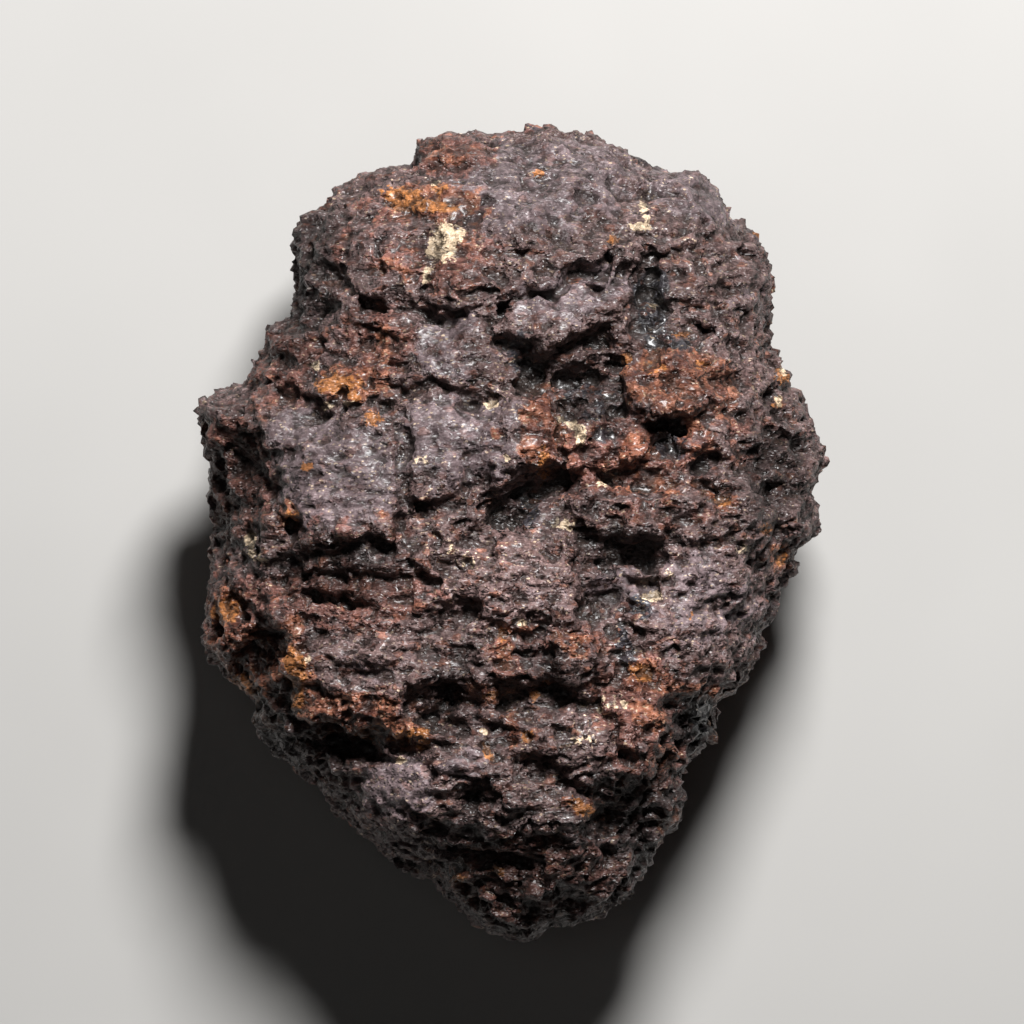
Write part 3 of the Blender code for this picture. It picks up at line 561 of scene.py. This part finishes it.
def length_property(name, description, default):
    """A size in metres."""
    return bpy.props.FloatProperty(
        name=name, description=description, default=default, precision=5,
        subtype="DISTANCE", unit="LENGTH")


def colour_property(name, description, default):
    """A colour with its alpha."""
    return bpy.props.FloatVectorProperty(
        name=name, description=description, default=default, size=4, min=0.0, max=1.0,
        subtype="COLOR")


class AgateShape(bpy.types.PropertyGroup):
    """The mesh and the relief of the crust"""

    mesh_size: length_property(
        "Mesh size", "Spacing of the even mesh that the crust is carved in", 0.00036)
    triangles: bpy.props.IntProperty(
        name="Triangles", description="Triangles in the finished stone", default=194000)
    crag_relief: length_property("Crags", "Height of the crags", 0.0015)
    crust_relief: length_property("Crust", "Height of the sharp-crested crust", 0.00025)
    layer_relief: length_property("Layer steps", "Height of the thin layers' ledges", 0.0004)
    layer_thickness: length_property("Layer thickness", "Spacing of the thin layers", 0.0015)
    chip_slope: bpy.props.FloatProperty(
        name="Chips", description="How much the small broken faces lean", default=0.38)
    grain_relief: length_property("Grains", "Height of the knobbly grains", 0.0004)
    pit_depth: length_property("Small pits", "Depth of the small pits", 0.00055)


class AgateColours(bpy.types.PropertyGroup):
    """The colours of the rind, its films and its stains"""

    grey: colour_property("Grey rind", "Smooth worn rind", (0.107, 0.077, 0.080, 1.0))
    brown: colour_property("Brown rind", "Rough rind", (0.105, 0.065, 0.061, 1.0))
    red_brown: colour_property("Red-brown rind", "Stained rind", (0.135, 0.052, 0.038, 1.0))
    # Painted shade: a near-black colour laid into the hollows, where shade falls
    hollow: colour_property("Hollows", "Painted shade in the hollows", (0.017, 0.012, 0.010, 1.0))
    # Also painted as shade in some recesses under ledges
    blue_black: colour_property("Blue-black film", "Glassy film", (0.020, 0.022, 0.028, 1.0))
    rust: colour_property("Rust", "Iron stain", (0.215, 0.080, 0.043, 1.0))
    deep_rust: colour_property(
        "Deep rust", "Iron stain where it is thick", (0.092, 0.027, 0.016, 1.0))
    orange: colour_property("Orange", "Ochre crust", (0.330, 0.125, 0.035, 1.0))
    cream: colour_property("Cream", "Chalky crust", (0.600, 0.460, 0.310, 1.0))


class AgateStage(bpy.types.PropertyGroup):
    """The floor, the lights and the view"""

    floor_colour: colour_property("Floor", "Pale floor", (0.42, 0.41, 0.395, 1.0))
    key_power: bpy.props.FloatProperty(
        name="Key light", description="Power of the large light beyond the crown end",
        default=7.1, subtype="POWER", unit="POWER")
    fill_power: bpy.props.FloatProperty(
        name="Fill light", description="Power of the weak light beside the camera",
        default=0.25, subtype="POWER", unit="POWER")
    world_strength: bpy.props.FloatProperty(
        name="Surroundings", description="Brightness of the even surroundings", default=0.03)
    view_width: length_property(
        "View width", "Width of the view at the stone's widest level", 0.1341)
    camera_distance: length_property(
        "Camera distance", "From the camera to the stone's widest level", 2.0)


# Shape

def smooth_step(low, high, values):
    """0 up to low, 1 from high, and a smooth rise between them."""
    share = np.clip((values - low) / (high - low), 0.0, 1.0)
    return share * share * (3.0 - 2.0 * share)


def vertex_array(mesh, attribute):
    """The vertices' places or normals, one row each."""
    values = np.empty(len(mesh.vertices) * 3, np.float32)
    mesh.vertices.foreach_get(attribute, values)
    return values.reshape(-1, 3).astype(float)


def set_points(mesh, points):
    mesh.vertices.foreach_set("co", points.astype(np.float32).ravel())
    mesh.update()


def outline_reach(angles):
    """How far the outline is from the middle, in each direction."""
    corners = np.array(OUTLINE)
    corner_angles = np.arctan2(corners[:, 1], corners[:, 0])
    corner_reach = np.hypot(corners[:, 0], corners[:, 1])
    order = np.argsort(corner_angles)
    return np.interp(angles, corner_angles[order], corner_reach[order], period=2 * math.pi)


def even_reach(angles):
    """The same without the outline's notches."""
    turns = np.radians(np.linspace(-NOTCH_SPREAD, NOTCH_SPREAD, NOTCH_SAMPLES))
    return np.mean([outline_reach(angles + turn) for turn in turns], axis=0)


def body_points(directions):
    """The plain body: a squared pebble with the outline at its rim, domed front and back."""
    level = directions[:, 2]
    out = np.hypot(directions[:, 0], directions[:, 1])
    angle = np.arctan2(directions[:, 1], directions[:, 0])
    power = 2.0 / np.where(level > 0, FACE_SQUARENESS, BACK_SQUARENESS)
    under = smooth_step(*UNDERSIDE_LEVELS, -level)
    even = under + FACE_EVENNESS * smooth_step(*EVEN_TOP_LEVELS, level)
    reach = (1.0 - even) * outline_reach(angle) + even * even_reach(angle)
    reach -= UNDERSIDE_INSET * under
    radius = reach * out ** power
    ring = np.stack([np.cos(angle), np.sin(angle), np.zeros(len(angle))], axis=1)
    rim = RIM_HEIGHT + RIM_SWING * noise_at(ring, *RIM_SWING_NOISE)
    rise = np.where(level > 0, DOME_HEIGHT - rim, rim + REST_DEPTH)
    height = rim + np.sign(level) * rise * np.abs(level) ** power
    return np.stack([radius * np.cos(angle), radius * np.sin(angle), height], axis=1)


def noise_at(points, size, start):
    """Smooth noise from about -1 to 1 at each point, of that size in millimetres."""
    scaled = points / np.array(size) + start
    return np.array([noise.noise(Vector(place)) for place in scaled.tolist()])


def wandered(points):
    """The points' x and y, shifted by noise, so that every edge drawn there is ragged."""
    flat = points * (1.0, 1.0, 0.0)
    x = points[:, 0].copy()
    y = points[:, 1].copy()
    for distance, across, along in WANDERS:
        x += distance * noise_at(flat, *across)
        y += distance * noise_at(flat, *along)
    return x, y


def anchored(form):
    """The form with its middle moved as its surroundings wander, so that it stays in place."""
    x, y = wandered(np.array([[form.x, form.y, 0.0]]))
    return form._replace(x=x[0], y=y[0])


def anchored_crack(crack):
    """The same for the points that a crack runs through."""
    x, y = wandered(np.array([(*point, 0.0) for point in crack.points]))
    return crack._replace(points=list(zip(x, y)))


def footprint(x, y, shape, power):
    """0 in the middle of a form, 1 at its edge, and more outside."""
    turn = math.radians(shape.turn)
    across, along = x - shape.x, y - shape.y
    u = (across * math.cos(turn) + along * math.sin(turn)) / shape.half_x
    v = (along * math.cos(turn) - across * math.sin(turn)) / shape.half_y
    return (np.abs(u) ** power + np.abs(v) ** power) ** (1.0 / power)


def block_height(x, y, block):
    """The height of one block's top over the dome, falling away steeply past its edge."""
    reach = footprint(x, y, block, BLOCK_SQUARENESS)
    top = block.lift + block.lean_x * (x - block.x) + block.lean_y * (y - block.y)
    rounding = BLOCK_CROWN * np.minimum(reach, 1.0) ** BLOCK_CROWN_POWER
    fall = np.maximum(reach - 1.0, 0.0) * min(block.half_x, block.half_y) * WALL_SLOPE
    return top - rounding - fall


def hollow_depth(x, y, hollow):
    """How far one hollow goes down at each place."""
    reach = footprint(x, y, hollow, BLOCK_SQUARENESS)
    return hollow.depth * smooth_step(1.0 + HOLLOW_LIP, 1.0 - HOLLOW_LIP, reach)


def crack_depth(x, y, crack):
    """How far one crack goes down, by the distance from its line."""
    nearest = np.full(len(x), np.inf)
    for (x0, y0), (x1, y1) in zip(crack.points, crack.points[1:]):
        run = np.array([x1 - x0, y1 - y0])
        share = ((x - x0) * run[0] + (y - y0) * run[1]) / run.dot(run)
        share = np.clip(share, 0.0, 1.0)
        away = np.hypot(x - x0 - share * run[0], y - y0 - share * run[1])
        nearest = np.minimum(nearest, away)
    top, foot = CRACK_TOP * crack.half_width, CRACK_FOOT * crack.half_width
    return crack.depth * smooth_step(top, foot, nearest)


def face_relief(points):
    """How far the broad face stands over the dome, and how rough each place of it is."""
    x, y = wandered(points)
    relief = np.full(len(x), GAP_LIFT)
    rough = np.ones(len(x))
    for block in BLOCKS.values():
        top = block_height(x, y, anchored(block))
        rough[top > relief] = 1.0 - block.calm
        relief = np.maximum(relief, top)
    relief += SWELL * rough * noise_at(points, *SWELL_NOISE)
    for hollow in HOLLOWS.values():
        relief -= hollow_depth(x, y, anchored(hollow))
    for crack in CRACKS.values():
        relief -= crack_depth(x, y, anchored_crack(crack))
    return relief, rough


def bent(spot, bend):
    """The spot, shifted by noise, so that walls between cells there are curved."""
    distance, often = bend
    return spot + distance * noise.noise_vector(spot * often)


def rubble_relief(points):
    """Lumps that meet in crevices, each standing out by its own amount."""
    relief = np.empty(len(points))
    for index, place in enumerate((points / RUBBLE_SIZE).tolist()):
        distances, seeds = noise.voronoi(bent(Vector(place), RUBBLE_BEND))
        lift = noise.cell(seeds[0] * LIFT_SPREAD)
        crevice = min(1.0, (distances[1] - distances[0]) / CREVICE_WIDTH)
        relief[index] = RUBBLE_RELIEF * (lift - 0.5) - CREVICE_DEPTH * (1.0 - crevice) ** 2
    return relief


def face_share(points):
    """1 on the broad face, 0 on the sides and the back."""
    return smooth_step(RIM_HEIGHT - FACE_EDGE, RIM_HEIGHT + FACE_EDGE, points[:, 2])


def stain_strength(points, marks, softness):
    """1 inside the stains and zones on the broad face, fading to 0 outside them."""
    strength = np.zeros(len(points))
    facing = face_share(points)
    down_wall = np.maximum(WALL_TOP - points[:, 2], 0.0)
    unfolded = 1.0 + down_wall / np.hypot(points[:, 0], points[:, 1])
    for stain in marks:
        reach = footprint(points[:, 0] * unfolded, points[:, 1] * unfolded, stain, STAIN_SQUARENESS)
        inside = smooth_step(1.0 + softness, STAIN_CORE, reach)
        strength = np.maximum(strength, stain.strength * inside)
    return strength * facing


def crust_relief(points):
    """Sharp crests with finer crests on them, longer along x than they are wide."""
    relief = np.empty(len(points))
    for index, place in enumerate((points / CREST_SIZE).tolist()):
        relief[index] = noise.ridged_multi_fractal(Vector(place), *CREST_FRACTAL)
    return relief - CREST_MEAN


def chip_relief(points, size, slope):
    """Broken faces of about that size, each leaning its own way, with narrow grooves between."""
    relief = np.empty(len(points))
    centre = Vector((0.5, 0.5, 0.5))
    for index, place in enumerate((points * CHIP_SQUEEZE / size).tolist()):
        spot = bent(Vector(place), CHIP_BEND)
        distances, seeds = noise.voronoi(spot, distance_metric="CHEBYCHEV")
        lean = noise.cell_vector(seeds[0]) - centre
        inner = min(1.0, (distances[1] - distances[0]) / CHIP_GROOVE)
        relief[index] = (spot - seeds[0]).dot(lean) * inner
    return 2.0 * slope * size * relief


def layer_relief(points, thickness):
    """Thin layers that crop out as small ledges, each stepping down along the stone."""
    bends = LAYER_BEND * noise_at(points, *LAYER_BEND_NOISE)
    bends += SMALL_LAYER_BEND * noise_at(points, *SMALL_LAYER_BEND_NOISE)
    phase = points @ BEDDING / thickness + bends
    share = phase - np.floor(phase)
    ledge = (1.0 - share) * smooth_step(0.0, LEDGE_WIDTH, share) - LEDGE_MEAN
    patches = LAYER_PATCH_MIDDLE + LAYER_PATCH_GAIN * noise_at(points, *LAYER_PATCH_NOISE)
    return ledge * np.clip(patches, 0.0, 1.0)


def grain_relief(points, size):
    """Knobbly grains with narrow gaps between them."""
    relief = np.empty(len(points))
    for index, place in enumerate((points / size).tolist()):
        relief[index] = GRAIN_LEVEL - noise.voronoi(Vector(place))[0][0]
    return relief


def pit_relief(points):
    """Scattered small pits: 1 at the bottom of each, 0 outside them."""
    return smooth_step(*PIT_LIMITS, noise_at(points, *PIT_NOISE))


def with_modifier(mesh, kind, **settings):
    """A copy of the mesh with one modifier applied."""
    helper = bpy.data.objects.new("shaping", mesh)
    bpy.context.scene.collection.objects.link(helper)
    modifier = helper.modifiers.new(kind, kind)
    for setting, value in settings.items():
        setattr(modifier, setting, value)
    graph = bpy.context.evaluated_depsgraph_get()
    result = bpy.data.meshes.new_from_object(helper.evaluated_get(graph))
    bpy.data.objects.remove(helper)
    return result


def rough_body(shape):
    """The body with its blocks, hollows and crags, in millimetres."""
    sphere = bmesh.new()
    bmesh.ops.create_icosphere(sphere, subdivisions=8, radius=1.0)
    mesh = bpy.data.meshes.new("body")
    sphere.to_mesh(mesh)
    sphere.free()
    directions = vertex_array(mesh, "co")
    points = body_points(directions)
    front = smooth_step(*FACE_LEVELS, directions[:, 2])
    relief, rough = face_relief(points)
    points[:, 2] += front * relief
    set_points(mesh, points)
    normals = vertex_array(mesh, "normal")
    back = smooth_step(*BACK_LEVELS, -directions[:, 2])
    rubble = rubble_relief(points) * np.maximum(back, FACE_RUBBLE_SHARE * front)
    crags = CRAG_CREST - CRAG_FALL * np.abs(noise_at(points, *CRAG_NOISE))
    crags *= shape.crag_relief / MM * rough
    set_points(mesh, points + normals * (rubble + crags)[:, None])
    return mesh


def carve_crust(mesh, shape):
    """Adds the crests, broken faces, layers, grains and pits to the even mesh."""
    points = vertex_array(mesh, "co")
    normals = vertex_array(mesh, "normal")
    calm = stain_strength(points, SMOOTH_GREY, CALM_EDGE)
    knobbly = np.maximum(stain_strength(points, RUST, RUST_GRAIN_EDGE),
                         stain_strength(points, ORANGE, ORANGE_GRAIN_EDGE))
    rough = 1.0 - GREY_CALM * calm
    relief = shape.crust_relief / MM * crust_relief(points) * rough
    for size in CHIP_SIZES:
        relief += chip_relief(points, size, shape.chip_slope) * rough
    relief += shape.layer_relief / MM * layer_relief(points, shape.layer_thickness / MM) * rough
    grains = shape.grain_relief / MM * grain_relief(points, GRAIN_SIZE)
    relief += grains * (GRAIN_SHARE + STAINED_GRAIN_SHARE * knobbly) * rough
    relief -= shape.pit_depth / MM * pit_relief(points) * rough
    points += normals * relief[:, None]
    points[:, 2] = np.maximum(points[:, 2], 0.0)
    set_points(mesh, points)


def fit_to_solid(mesh):
    """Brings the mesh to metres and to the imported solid's box."""
    points = vertex_array(mesh, "co")
    low, high = points.min(axis=0), points.max(axis=0)
    solid_low, solid_high = (np.array(corner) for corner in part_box(NODE))
    set_points(mesh, solid_low + (points - low) / (high - low) * (solid_high - solid_low))


def neighbour_mean(values, edges, count):
    """For each vertex, the mean of its neighbours' values."""
    total = np.zeros_like(values)
    for start, end in (edges, edges[::-1]):
        for axis in range(3):
            total[:, axis] += np.bincount(start, values[end, axis], minlength=count)
    degree = np.bincount(edges.ravel(), minlength=count)
    return total / degree[:, None]


def hollowness(mesh, rounds):
    """How far each point lies below the smoothed surface, in millimetres."""
    edges = np.empty(len(mesh.edges) * 2, np.int32)
    mesh.edges.foreach_get("vertices", edges)
    edges = edges.reshape(-1, 2).T
    points = vertex_array(mesh, "co")
    smoothed = points
    for _ in range(rounds):
        smoothed = neighbour_mean(smoothed, edges, len(points))
    return np.einsum("ij,ij->i", smoothed - points, vertex_array(mesh, "normal")) / MM


def set_attribute(mesh, name, values):
    """Stores one number for each vertex."""
    attribute = mesh.attributes.new(name, "FLOAT", "POINT")
    attribute.data.foreach_set("value", values.astype(np.float32))


def mark_surface(mesh):
    """Stores what the material reads: hollows, zones and stains, among them the zones of painted
    shade and light.
    """
    points = vertex_array(mesh, "co") / MM
    set_attribute(mesh, "hollow_fine", hollowness(mesh, FINE_ROUNDS))
    set_attribute(mesh, "hollow_broad", hollowness(mesh, BROAD_ROUNDS))
    hidden = 1.0 - face_share(points)
    for name, (marks, softness, size, rarity) in ZONES.items():
        seen = stain_strength(points, marks, softness)
        elsewhere = noise_at(points, size, ZONE_START + len(name) * ZONE_START_STEP)
        elsewhere += noise_at(points, SMALL_STAIN_SHARE * size, SMALL_STAIN_START)
        unseen = hidden * smooth_step(rarity, rarity + STAIN_RISE, elsewhere)
        set_attribute(mesh, name, np.maximum(seen, unseen))


# Materials

def add_node(tree, kind, inputs=None, **settings):
    """A shader node with its settings, and with each given input set or linked."""
    made = tree.nodes.new("ShaderNode" + kind)
    for setting, value in settings.items():
        setattr(made, setting, value)
    for socket, value in (inputs or {}).items():
        if isinstance(value, bpy.types.NodeSocket):
            tree.links.new(value, made.inputs[socket])
        else:
            made.inputs[socket].default_value = value
    return made


def calculate(tree, operation, *values):
    """The result of one Math node."""
    return add_node(tree, "Math", dict(enumerate(values)), operation=operation).outputs[0]


def ramp(tree, value, low, high, start=0.0, end=1.0):
    """Start up to low, end from high, and a smooth rise between them."""
    limits = {"Value": value, "From Min": low, "From Max": high, "To Min": start, "To Max": end}
    return add_node(tree, "MapRange", limits, interpolation_type="SMOOTHSTEP").outputs[0]


def mottle(tree, place, size, detail=3.0, roughness=0.55):
    """Noise from 0 to 1 with spots of about that size in millimetres."""
    inputs = {"Vector": place, "Scale": 1.0 / size, "Detail": detail, "Roughness": roughness}
    return add_node(tree, "TexNoise", inputs).outputs["Fac"]


def mix_colours(tree, share, first, second, blend="MIX"):
    """The first colour, with that share of the second mixed in or multiplied in."""
    made = add_node(tree, "Mix", {0: share, 6: first, 7: second}, data_type="RGBA",
                    blend_type=blend, clamp_factor=True)
    return made.outputs[2]


def attribute(tree, name):
    """A number that is stored on the mesh."""
    return add_node(tree, "Attribute", attribute_name=name).outputs["Fac"]


def new_group(name, inputs, outputs):
    """An empty node group with these sockets, its inputs by name, and its last node."""
    group = bpy.data.node_groups.new(name, "ShaderNodeTree")
    for label, kind in inputs.items():
        group.interface.new_socket(label, in_out="INPUT", socket_type="NodeSocket" + kind)
    for label, kind in outputs.items():
        group.interface.new_socket(label, in_out="OUTPUT", socket_type="NodeSocket" + kind)
    entry = group.nodes.new("NodeGroupInput")
    return group, entry.outputs, group.nodes.new("NodeGroupOutput")


def use_group(tree, group, inputs):
    """The outputs of a node group that is placed in the tree with these inputs."""
    return add_node(tree, "Group", inputs, node_tree=group).outputs


def ragged_patch_group():
    """A mask with a ragged edge, from a soft amount and the shared grain of the rind."""
    group, given, out = new_group(
        "Ragged patch", {"Amount": "Float", "Grain": "Float"}, {"Mask": "Float"})
    ragged = calculate(group, "MULTIPLY_ADD", given["Grain"], RAGGED_GAIN, given["Amount"])
    mask = calculate(group, "MULTIPLY", ramp(group, ragged, *RAGGED_EDGE),
                     ramp(group, given["Amount"], *RAGGED_FADE))
    group.links.new(mask, out.inputs["Mask"])
    return group


def crystal_grain_group():
    """The rind's crystal grains: how high, shiny and bright each is, which are stained, and cream
    specks that are partly painted glints.
    """
    group, given, out = new_group(
        "Crystal grains", {"Place": "Vector", "Calm": "Float"},
        {"Height": "Float", "Glint": "Float", "Tone": "Float", "Fleck": "Float", "Speck and painted glint": "Float"})
    place = add_node(group, "Mapping", {"Vector": given["Place"], "Scale": CRYSTAL_SQUEEZE,
                                        "Rotation": (0.0, 0.0, CRYSTAL_TURN)}).outputs[0]
    height = mottle(group, place, *CRYSTAL_GRAIN)
    picks = []
    for size, steepness in CRYSTALS:
        cells = add_node(group, "TexVoronoi", {"Vector": place, "Scale": 1.0 / size})
        inside = add_node(group, "VectorMath", {0: place, 1: cells.outputs["Position"]},
                          operation="SUBTRACT").outputs[0]
        lean = add_node(group, "VectorMath", {0: cells.outputs["Color"], 1: (0.5, 0.5, 0.5)},
                        operation="SUBTRACT").outputs[0]
        facet = add_node(group, "VectorMath", {0: inside, 1: lean}, operation="DOT_PRODUCT")
        height = calculate(group, "MULTIPLY_ADD", facet.outputs["Value"], steepness, height)
        picks.append(add_node(group, "SeparateColor", {"Color": cells.outputs["Color"]}).outputs)
    large, small = picks
    quiet = calculate(group, "MULTIPLY_ADD", given["Calm"], -0.5, 1.0)
    tone = calculate(group, "MULTIPLY", ramp(group, large[1], 0.0, 1.0, 0.88, 1.12),
                     ramp(group, small[1], 0.0, 1.0, 0.75, 1.25))
    results = {
        "Height": calculate(group, "MULTIPLY", height, quiet),
        "Glint": ramp(group, small[0], 0.30, 0.95, 0.05, 0.34),
        "Tone": tone,
        "Fleck": ramp(group, large[2], 0.80, 0.90),
        "Speck and painted glint": ramp(group, small[2], 0.93, 0.97),
    }
    for socket, value in results.items():
        group.links.new(value, out.inputs[socket])
    return group


def rind_material(colours):
    """The nodule's rind: grey and brown zones, stains, painted shade in the hollows and recesses,
    painted light on pale zones, and crystal glints.
    """
    material = bpy.data.materials.new("agate_rind")
    material.use_nodes = True
    tree = material.node_tree
    tree.nodes.clear()
    object_place = add_node(tree, "TexCoord").outputs["Object"]
    place = add_node(tree, "Mapping", {"Vector": object_place, "Scale": [1.0 / MM] * 3}).outputs[0]
    broad_grain = mottle(tree, place, *BROAD_GRAIN)
    fine_grain = mottle(tree, place, *FINE_GRAIN)
    patches = ragged_patch_group()

    def patch(name, grain):
        inputs = {"Amount": attribute(tree, name), "Grain": grain}
        return use_group(tree, patches, inputs)["Mask"]

    def tinted(rind, mask, strength, colour):
        return mix_colours(tree, calculate(tree, "MULTIPLY", mask, strength), rind, tuple(colour))

    grey = patch("grey", broad_grain)
    # The blue-black film: partly real film, partly painted shade in recesses under ledges
    film = patch("blue_black", broad_grain)
    rust = patch("rust", broad_grain)
    grains = use_group(tree, crystal_grain_group(), {
        "Place": place, "Calm": calculate(tree, "MULTIPLY", grey, 0.8)})
    rind = mix_colours(tree, grey, tuple(colours.brown), tuple(colours.grey))
    rind = tinted(rind, patch("red_brown", broad_grain), RED_BROWN_COVER, colours.red_brown)
    rind = tinted(rind, film, STAIN_COVER, colours.blue_black)
    rusty = mix_colours(tree, ramp(tree, broad_grain, 0.38, 0.62), tuple(colours.deep_rust),
                        tuple(colours.rust))
    flecks = calculate(tree, "MULTIPLY", grains["Fleck"], ramp(tree, grey, 0.0, 1.0, 0.5, 0.2))
    rind = mix_colours(tree, flecks, rind, rusty)
    rind = mix_colours(tree, calculate(tree, "MULTIPLY", rust, STAIN_COVER), rind, rusty)
    # Cream specks: partly real crust, partly painted glints
    speck_and_glint_strength = ramp(tree, broad_grain, 0.40, 0.62, 0.1, 0.5)
    rind = tinted(rind, grains["Speck and painted glint"], speck_and_glint_strength, colours.cream)
    rind = tinted(rind, patch("orange", fine_grain), STAIN_COVER, colours.orange)
    rind = tinted(rind, patch("cream", fine_grain), STAIN_COVER, colours.cream)

    hollow_fine = attribute(tree, "hollow_fine")
    tone = ramp(tree, broad_grain, *USUAL_NOISE, 0.72, 1.3)
    for change in (
            ramp(tree, fine_grain, *USUAL_NOISE, 0.78, 1.22),
            grains["Tone"],
            # Partly painted light: the pale zones lighten the rind up to 1.75 times
            ramp(tree, attribute(tree, "pale"), 0.0, 1.0, 0.9, 1.75),
            # Painted shade: the shady zones darken the rind down to 0.4 of its tone
            ramp(tree, attribute(tree, "sooty"), 0.0, 1.0, 1.0, 0.4),
            ramp(tree, hollow_fine, *CREST, CREST_TONE, 1.0)):
        tone = calculate(tree, "MULTIPLY", tone, change)
    rind = mix_colours(tree, 1.0, rind, tone, "MULTIPLY")
    # Painted shade: small and broad hollows are painted near-black, where shade falls
    fine = ramp(tree, hollow_fine, *FINE_HOLLOW, 0.0, FINE_HOLLOW_SHADE)
    broad = ramp(tree, attribute(tree, "hollow_broad"), *BROAD_HOLLOW, 0.0, BROAD_HOLLOW_SHADE)
    rind = mix_colours(tree, calculate(tree, "MAXIMUM", fine, broad), rind, tuple(colours.hollow))

    bump = add_node(tree, "Bump", {"Height": grains["Height"], "Distance": MM})
    wet = calculate(tree, "MAXIMUM", calculate(tree, "MULTIPLY", film, FILM_GLOSS),
                    calculate(tree, "MULTIPLY", rust, RUST_GLOSS))
    shine = calculate(tree, "MAXIMUM", grains["Glint"], wet)
    shader = add_node(tree, "BsdfPrincipled", {
        "Base Color": rind, "Roughness": ramp(tree, fine_grain, *USUAL_NOISE, *RIND_ROUGHNESS),
        "Normal": bump.outputs[0], "Coat Weight": shine, "Coat Roughness": GLOSS_ROUGHNESS})
    output = add_node(tree, "OutputMaterial")
    tree.links.new(shader.outputs[0], output.inputs["Surface"])
    return material


def floor_material(colour):
    """Plain pale floor with a faint mottle."""
    material = bpy.data.materials.new("pale_floor")
    material.use_nodes = True
    tree = material.node_tree
    tree.nodes.clear()
    place = add_node(tree, "TexCoord").outputs["Object"]
    tone = ramp(tree, mottle(tree, place, 0.09), *USUAL_NOISE, 0.97, 1.03)
    shade = mix_colours(tree, 1.0, tuple(colour), tone, "MULTIPLY")
    shader = add_node(tree, "BsdfPrincipled", {"Base Color": shade, "Roughness": 0.75})
    output = add_node(tree, "OutputMaterial")
    tree.links.new(shader.outputs[0], output.inputs["Surface"])
    return material


# Operators

class OBJECT_OT_agate_nodule(bpy.types.Operator):
    """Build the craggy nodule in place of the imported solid"""

    bl_idname = "object.agate_nodule"
    bl_label = "Agate Nodule"

    def execute(self, context):
        shape = context.scene.agate_shape
        noise.seed_set(NOISE_SEED)
        body = rough_body(shape)
        even = with_modifier(body, "REMESH", mode="VOXEL", voxel_size=shape.mesh_size / MM)
        carve_crust(even, shape)
        fit_to_solid(even)
        share = shape.triangles / sum(len(face.vertices) - 2 for face in even.polygons)
        stone = with_modifier(
            even, "DECIMATE", ratio=min(1.0, share), use_collapse_triangulate=True)
        stone.name = "agate_rind"
        mark_surface(stone)
        stone.materials.clear()
        stone.materials.append(rind_material(context.scene.agate_colours))
        stone.shade_smooth()
        nodule = bpy.data.objects.new("agate_rind", stone)
        context.scene.collection.objects.link(nodule)
        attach(nodule, "root")
        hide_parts(NODE)
        for used in (body, even):
            bpy.data.meshes.remove(used)
        return {"FINISHED"}


def area_light(name, place, size, power):
    """A round soft light that points at the stone."""
    light = bpy.data.lights.new(name, "AREA")
    light.shape = "DISK"
    light.size = size
    light.energy = power
    lamp = bpy.data.objects.new(name, light)
    lamp.location = place
    toward = Vector(LIGHT_AIM) - Vector(place)
    lamp.rotation_euler = toward.to_track_quat("-Z", "Y").to_euler()
    bpy.context.scene.collection.objects.link(lamp)


class SCENE_OT_agate_stage(bpy.types.Operator):
    """Set up the floor, the lights, the surroundings and the camera"""

    bl_idname = "scene.agate_stage"
    bl_label = "Agate Stage"

    def execute(self, context):
        stage = context.scene.agate_stage
        sheet = bmesh.new()
        bmesh.ops.create_grid(sheet, x_segments=8, y_segments=8, size=FLOOR_REACH)
        mesh = bpy.data.meshes.new("floor")
        sheet.to_mesh(mesh)
        sheet.free()
        mesh.materials.append(floor_material(stage.floor_colour))
        floor = bpy.data.objects.new("floor", mesh)
        context.scene.collection.objects.link(floor)

        area_light("key", KEY_PLACE, KEY_SIZE, stage.key_power)
        area_light("fill", FILL_PLACE, FILL_SIZE, stage.fill_power)

        world = bpy.data.worlds.new("even_surroundings")
        world.use_nodes = True
        world.node_tree.nodes["Background"].inputs["Strength"].default_value = stage.world_strength
        context.scene.world = world
        context.scene.view_settings.view_transform = "Standard"

        camera = bpy.data.cameras.new("camera")
        camera.sensor_width = 36.0
        camera.lens = camera.sensor_width * stage.camera_distance / stage.view_width
        viewer = bpy.data.objects.new("camera", camera)
        viewer.location = (0.0, VIEW_CENTRE_Y * MM, RIM_HEIGHT * MM + stage.camera_distance)
        context.scene.collection.objects.link(viewer)
        context.scene.camera = viewer
        return {"FINISHED"}


class VIEW3D_PT_agate(bpy.types.Panel):
    bl_label = "Rough Agate Nodule"
    bl_idname = "VIEW3D_PT_agate"
    bl_space_type = "VIEW_3D"
    bl_region_type = "UI"
    bl_category = "Agate"

    def draw(self, context):
        layout = self.layout
        for settings in (context.scene.agate_shape, context.scene.agate_colours):
            box = layout.box()
            for name in settings.__annotations__:
                box.prop(settings, name)
        layout.operator(OBJECT_OT_agate_nodule.bl_idname)
        box = layout.box()
        for name in context.scene.agate_stage.__annotations__:
            box.prop(context.scene.agate_stage, name)
        layout.operator(SCENE_OT_agate_stage.bl_idname)


CLASSES = (
    AgateShape, AgateColours, AgateStage, OBJECT_OT_agate_nodule, SCENE_OT_agate_stage,
    VIEW3D_PT_agate,
)


def register():
    for kind in CLASSES:
        bpy.utils.register_class(kind)
    bpy.types.Scene.agate_shape = bpy.props.PointerProperty(type=AgateShape)
    bpy.types.Scene.agate_colours = bpy.props.PointerProperty(type=AgateColours)
    bpy.types.Scene.agate_stage = bpy.props.PointerProperty(type=AgateStage)


def unregister():
    del bpy.types.Scene.agate_stage
    del bpy.types.Scene.agate_colours
    del bpy.types.Scene.agate_shape
    for kind in reversed(CLASSES):
        bpy.utils.unregister_class(kind)


def main():
    register()
    bpy.ops.object.agate_nodule()
    bpy.ops.scene.agate_stage()


if __name__ == "__main__":
    main()
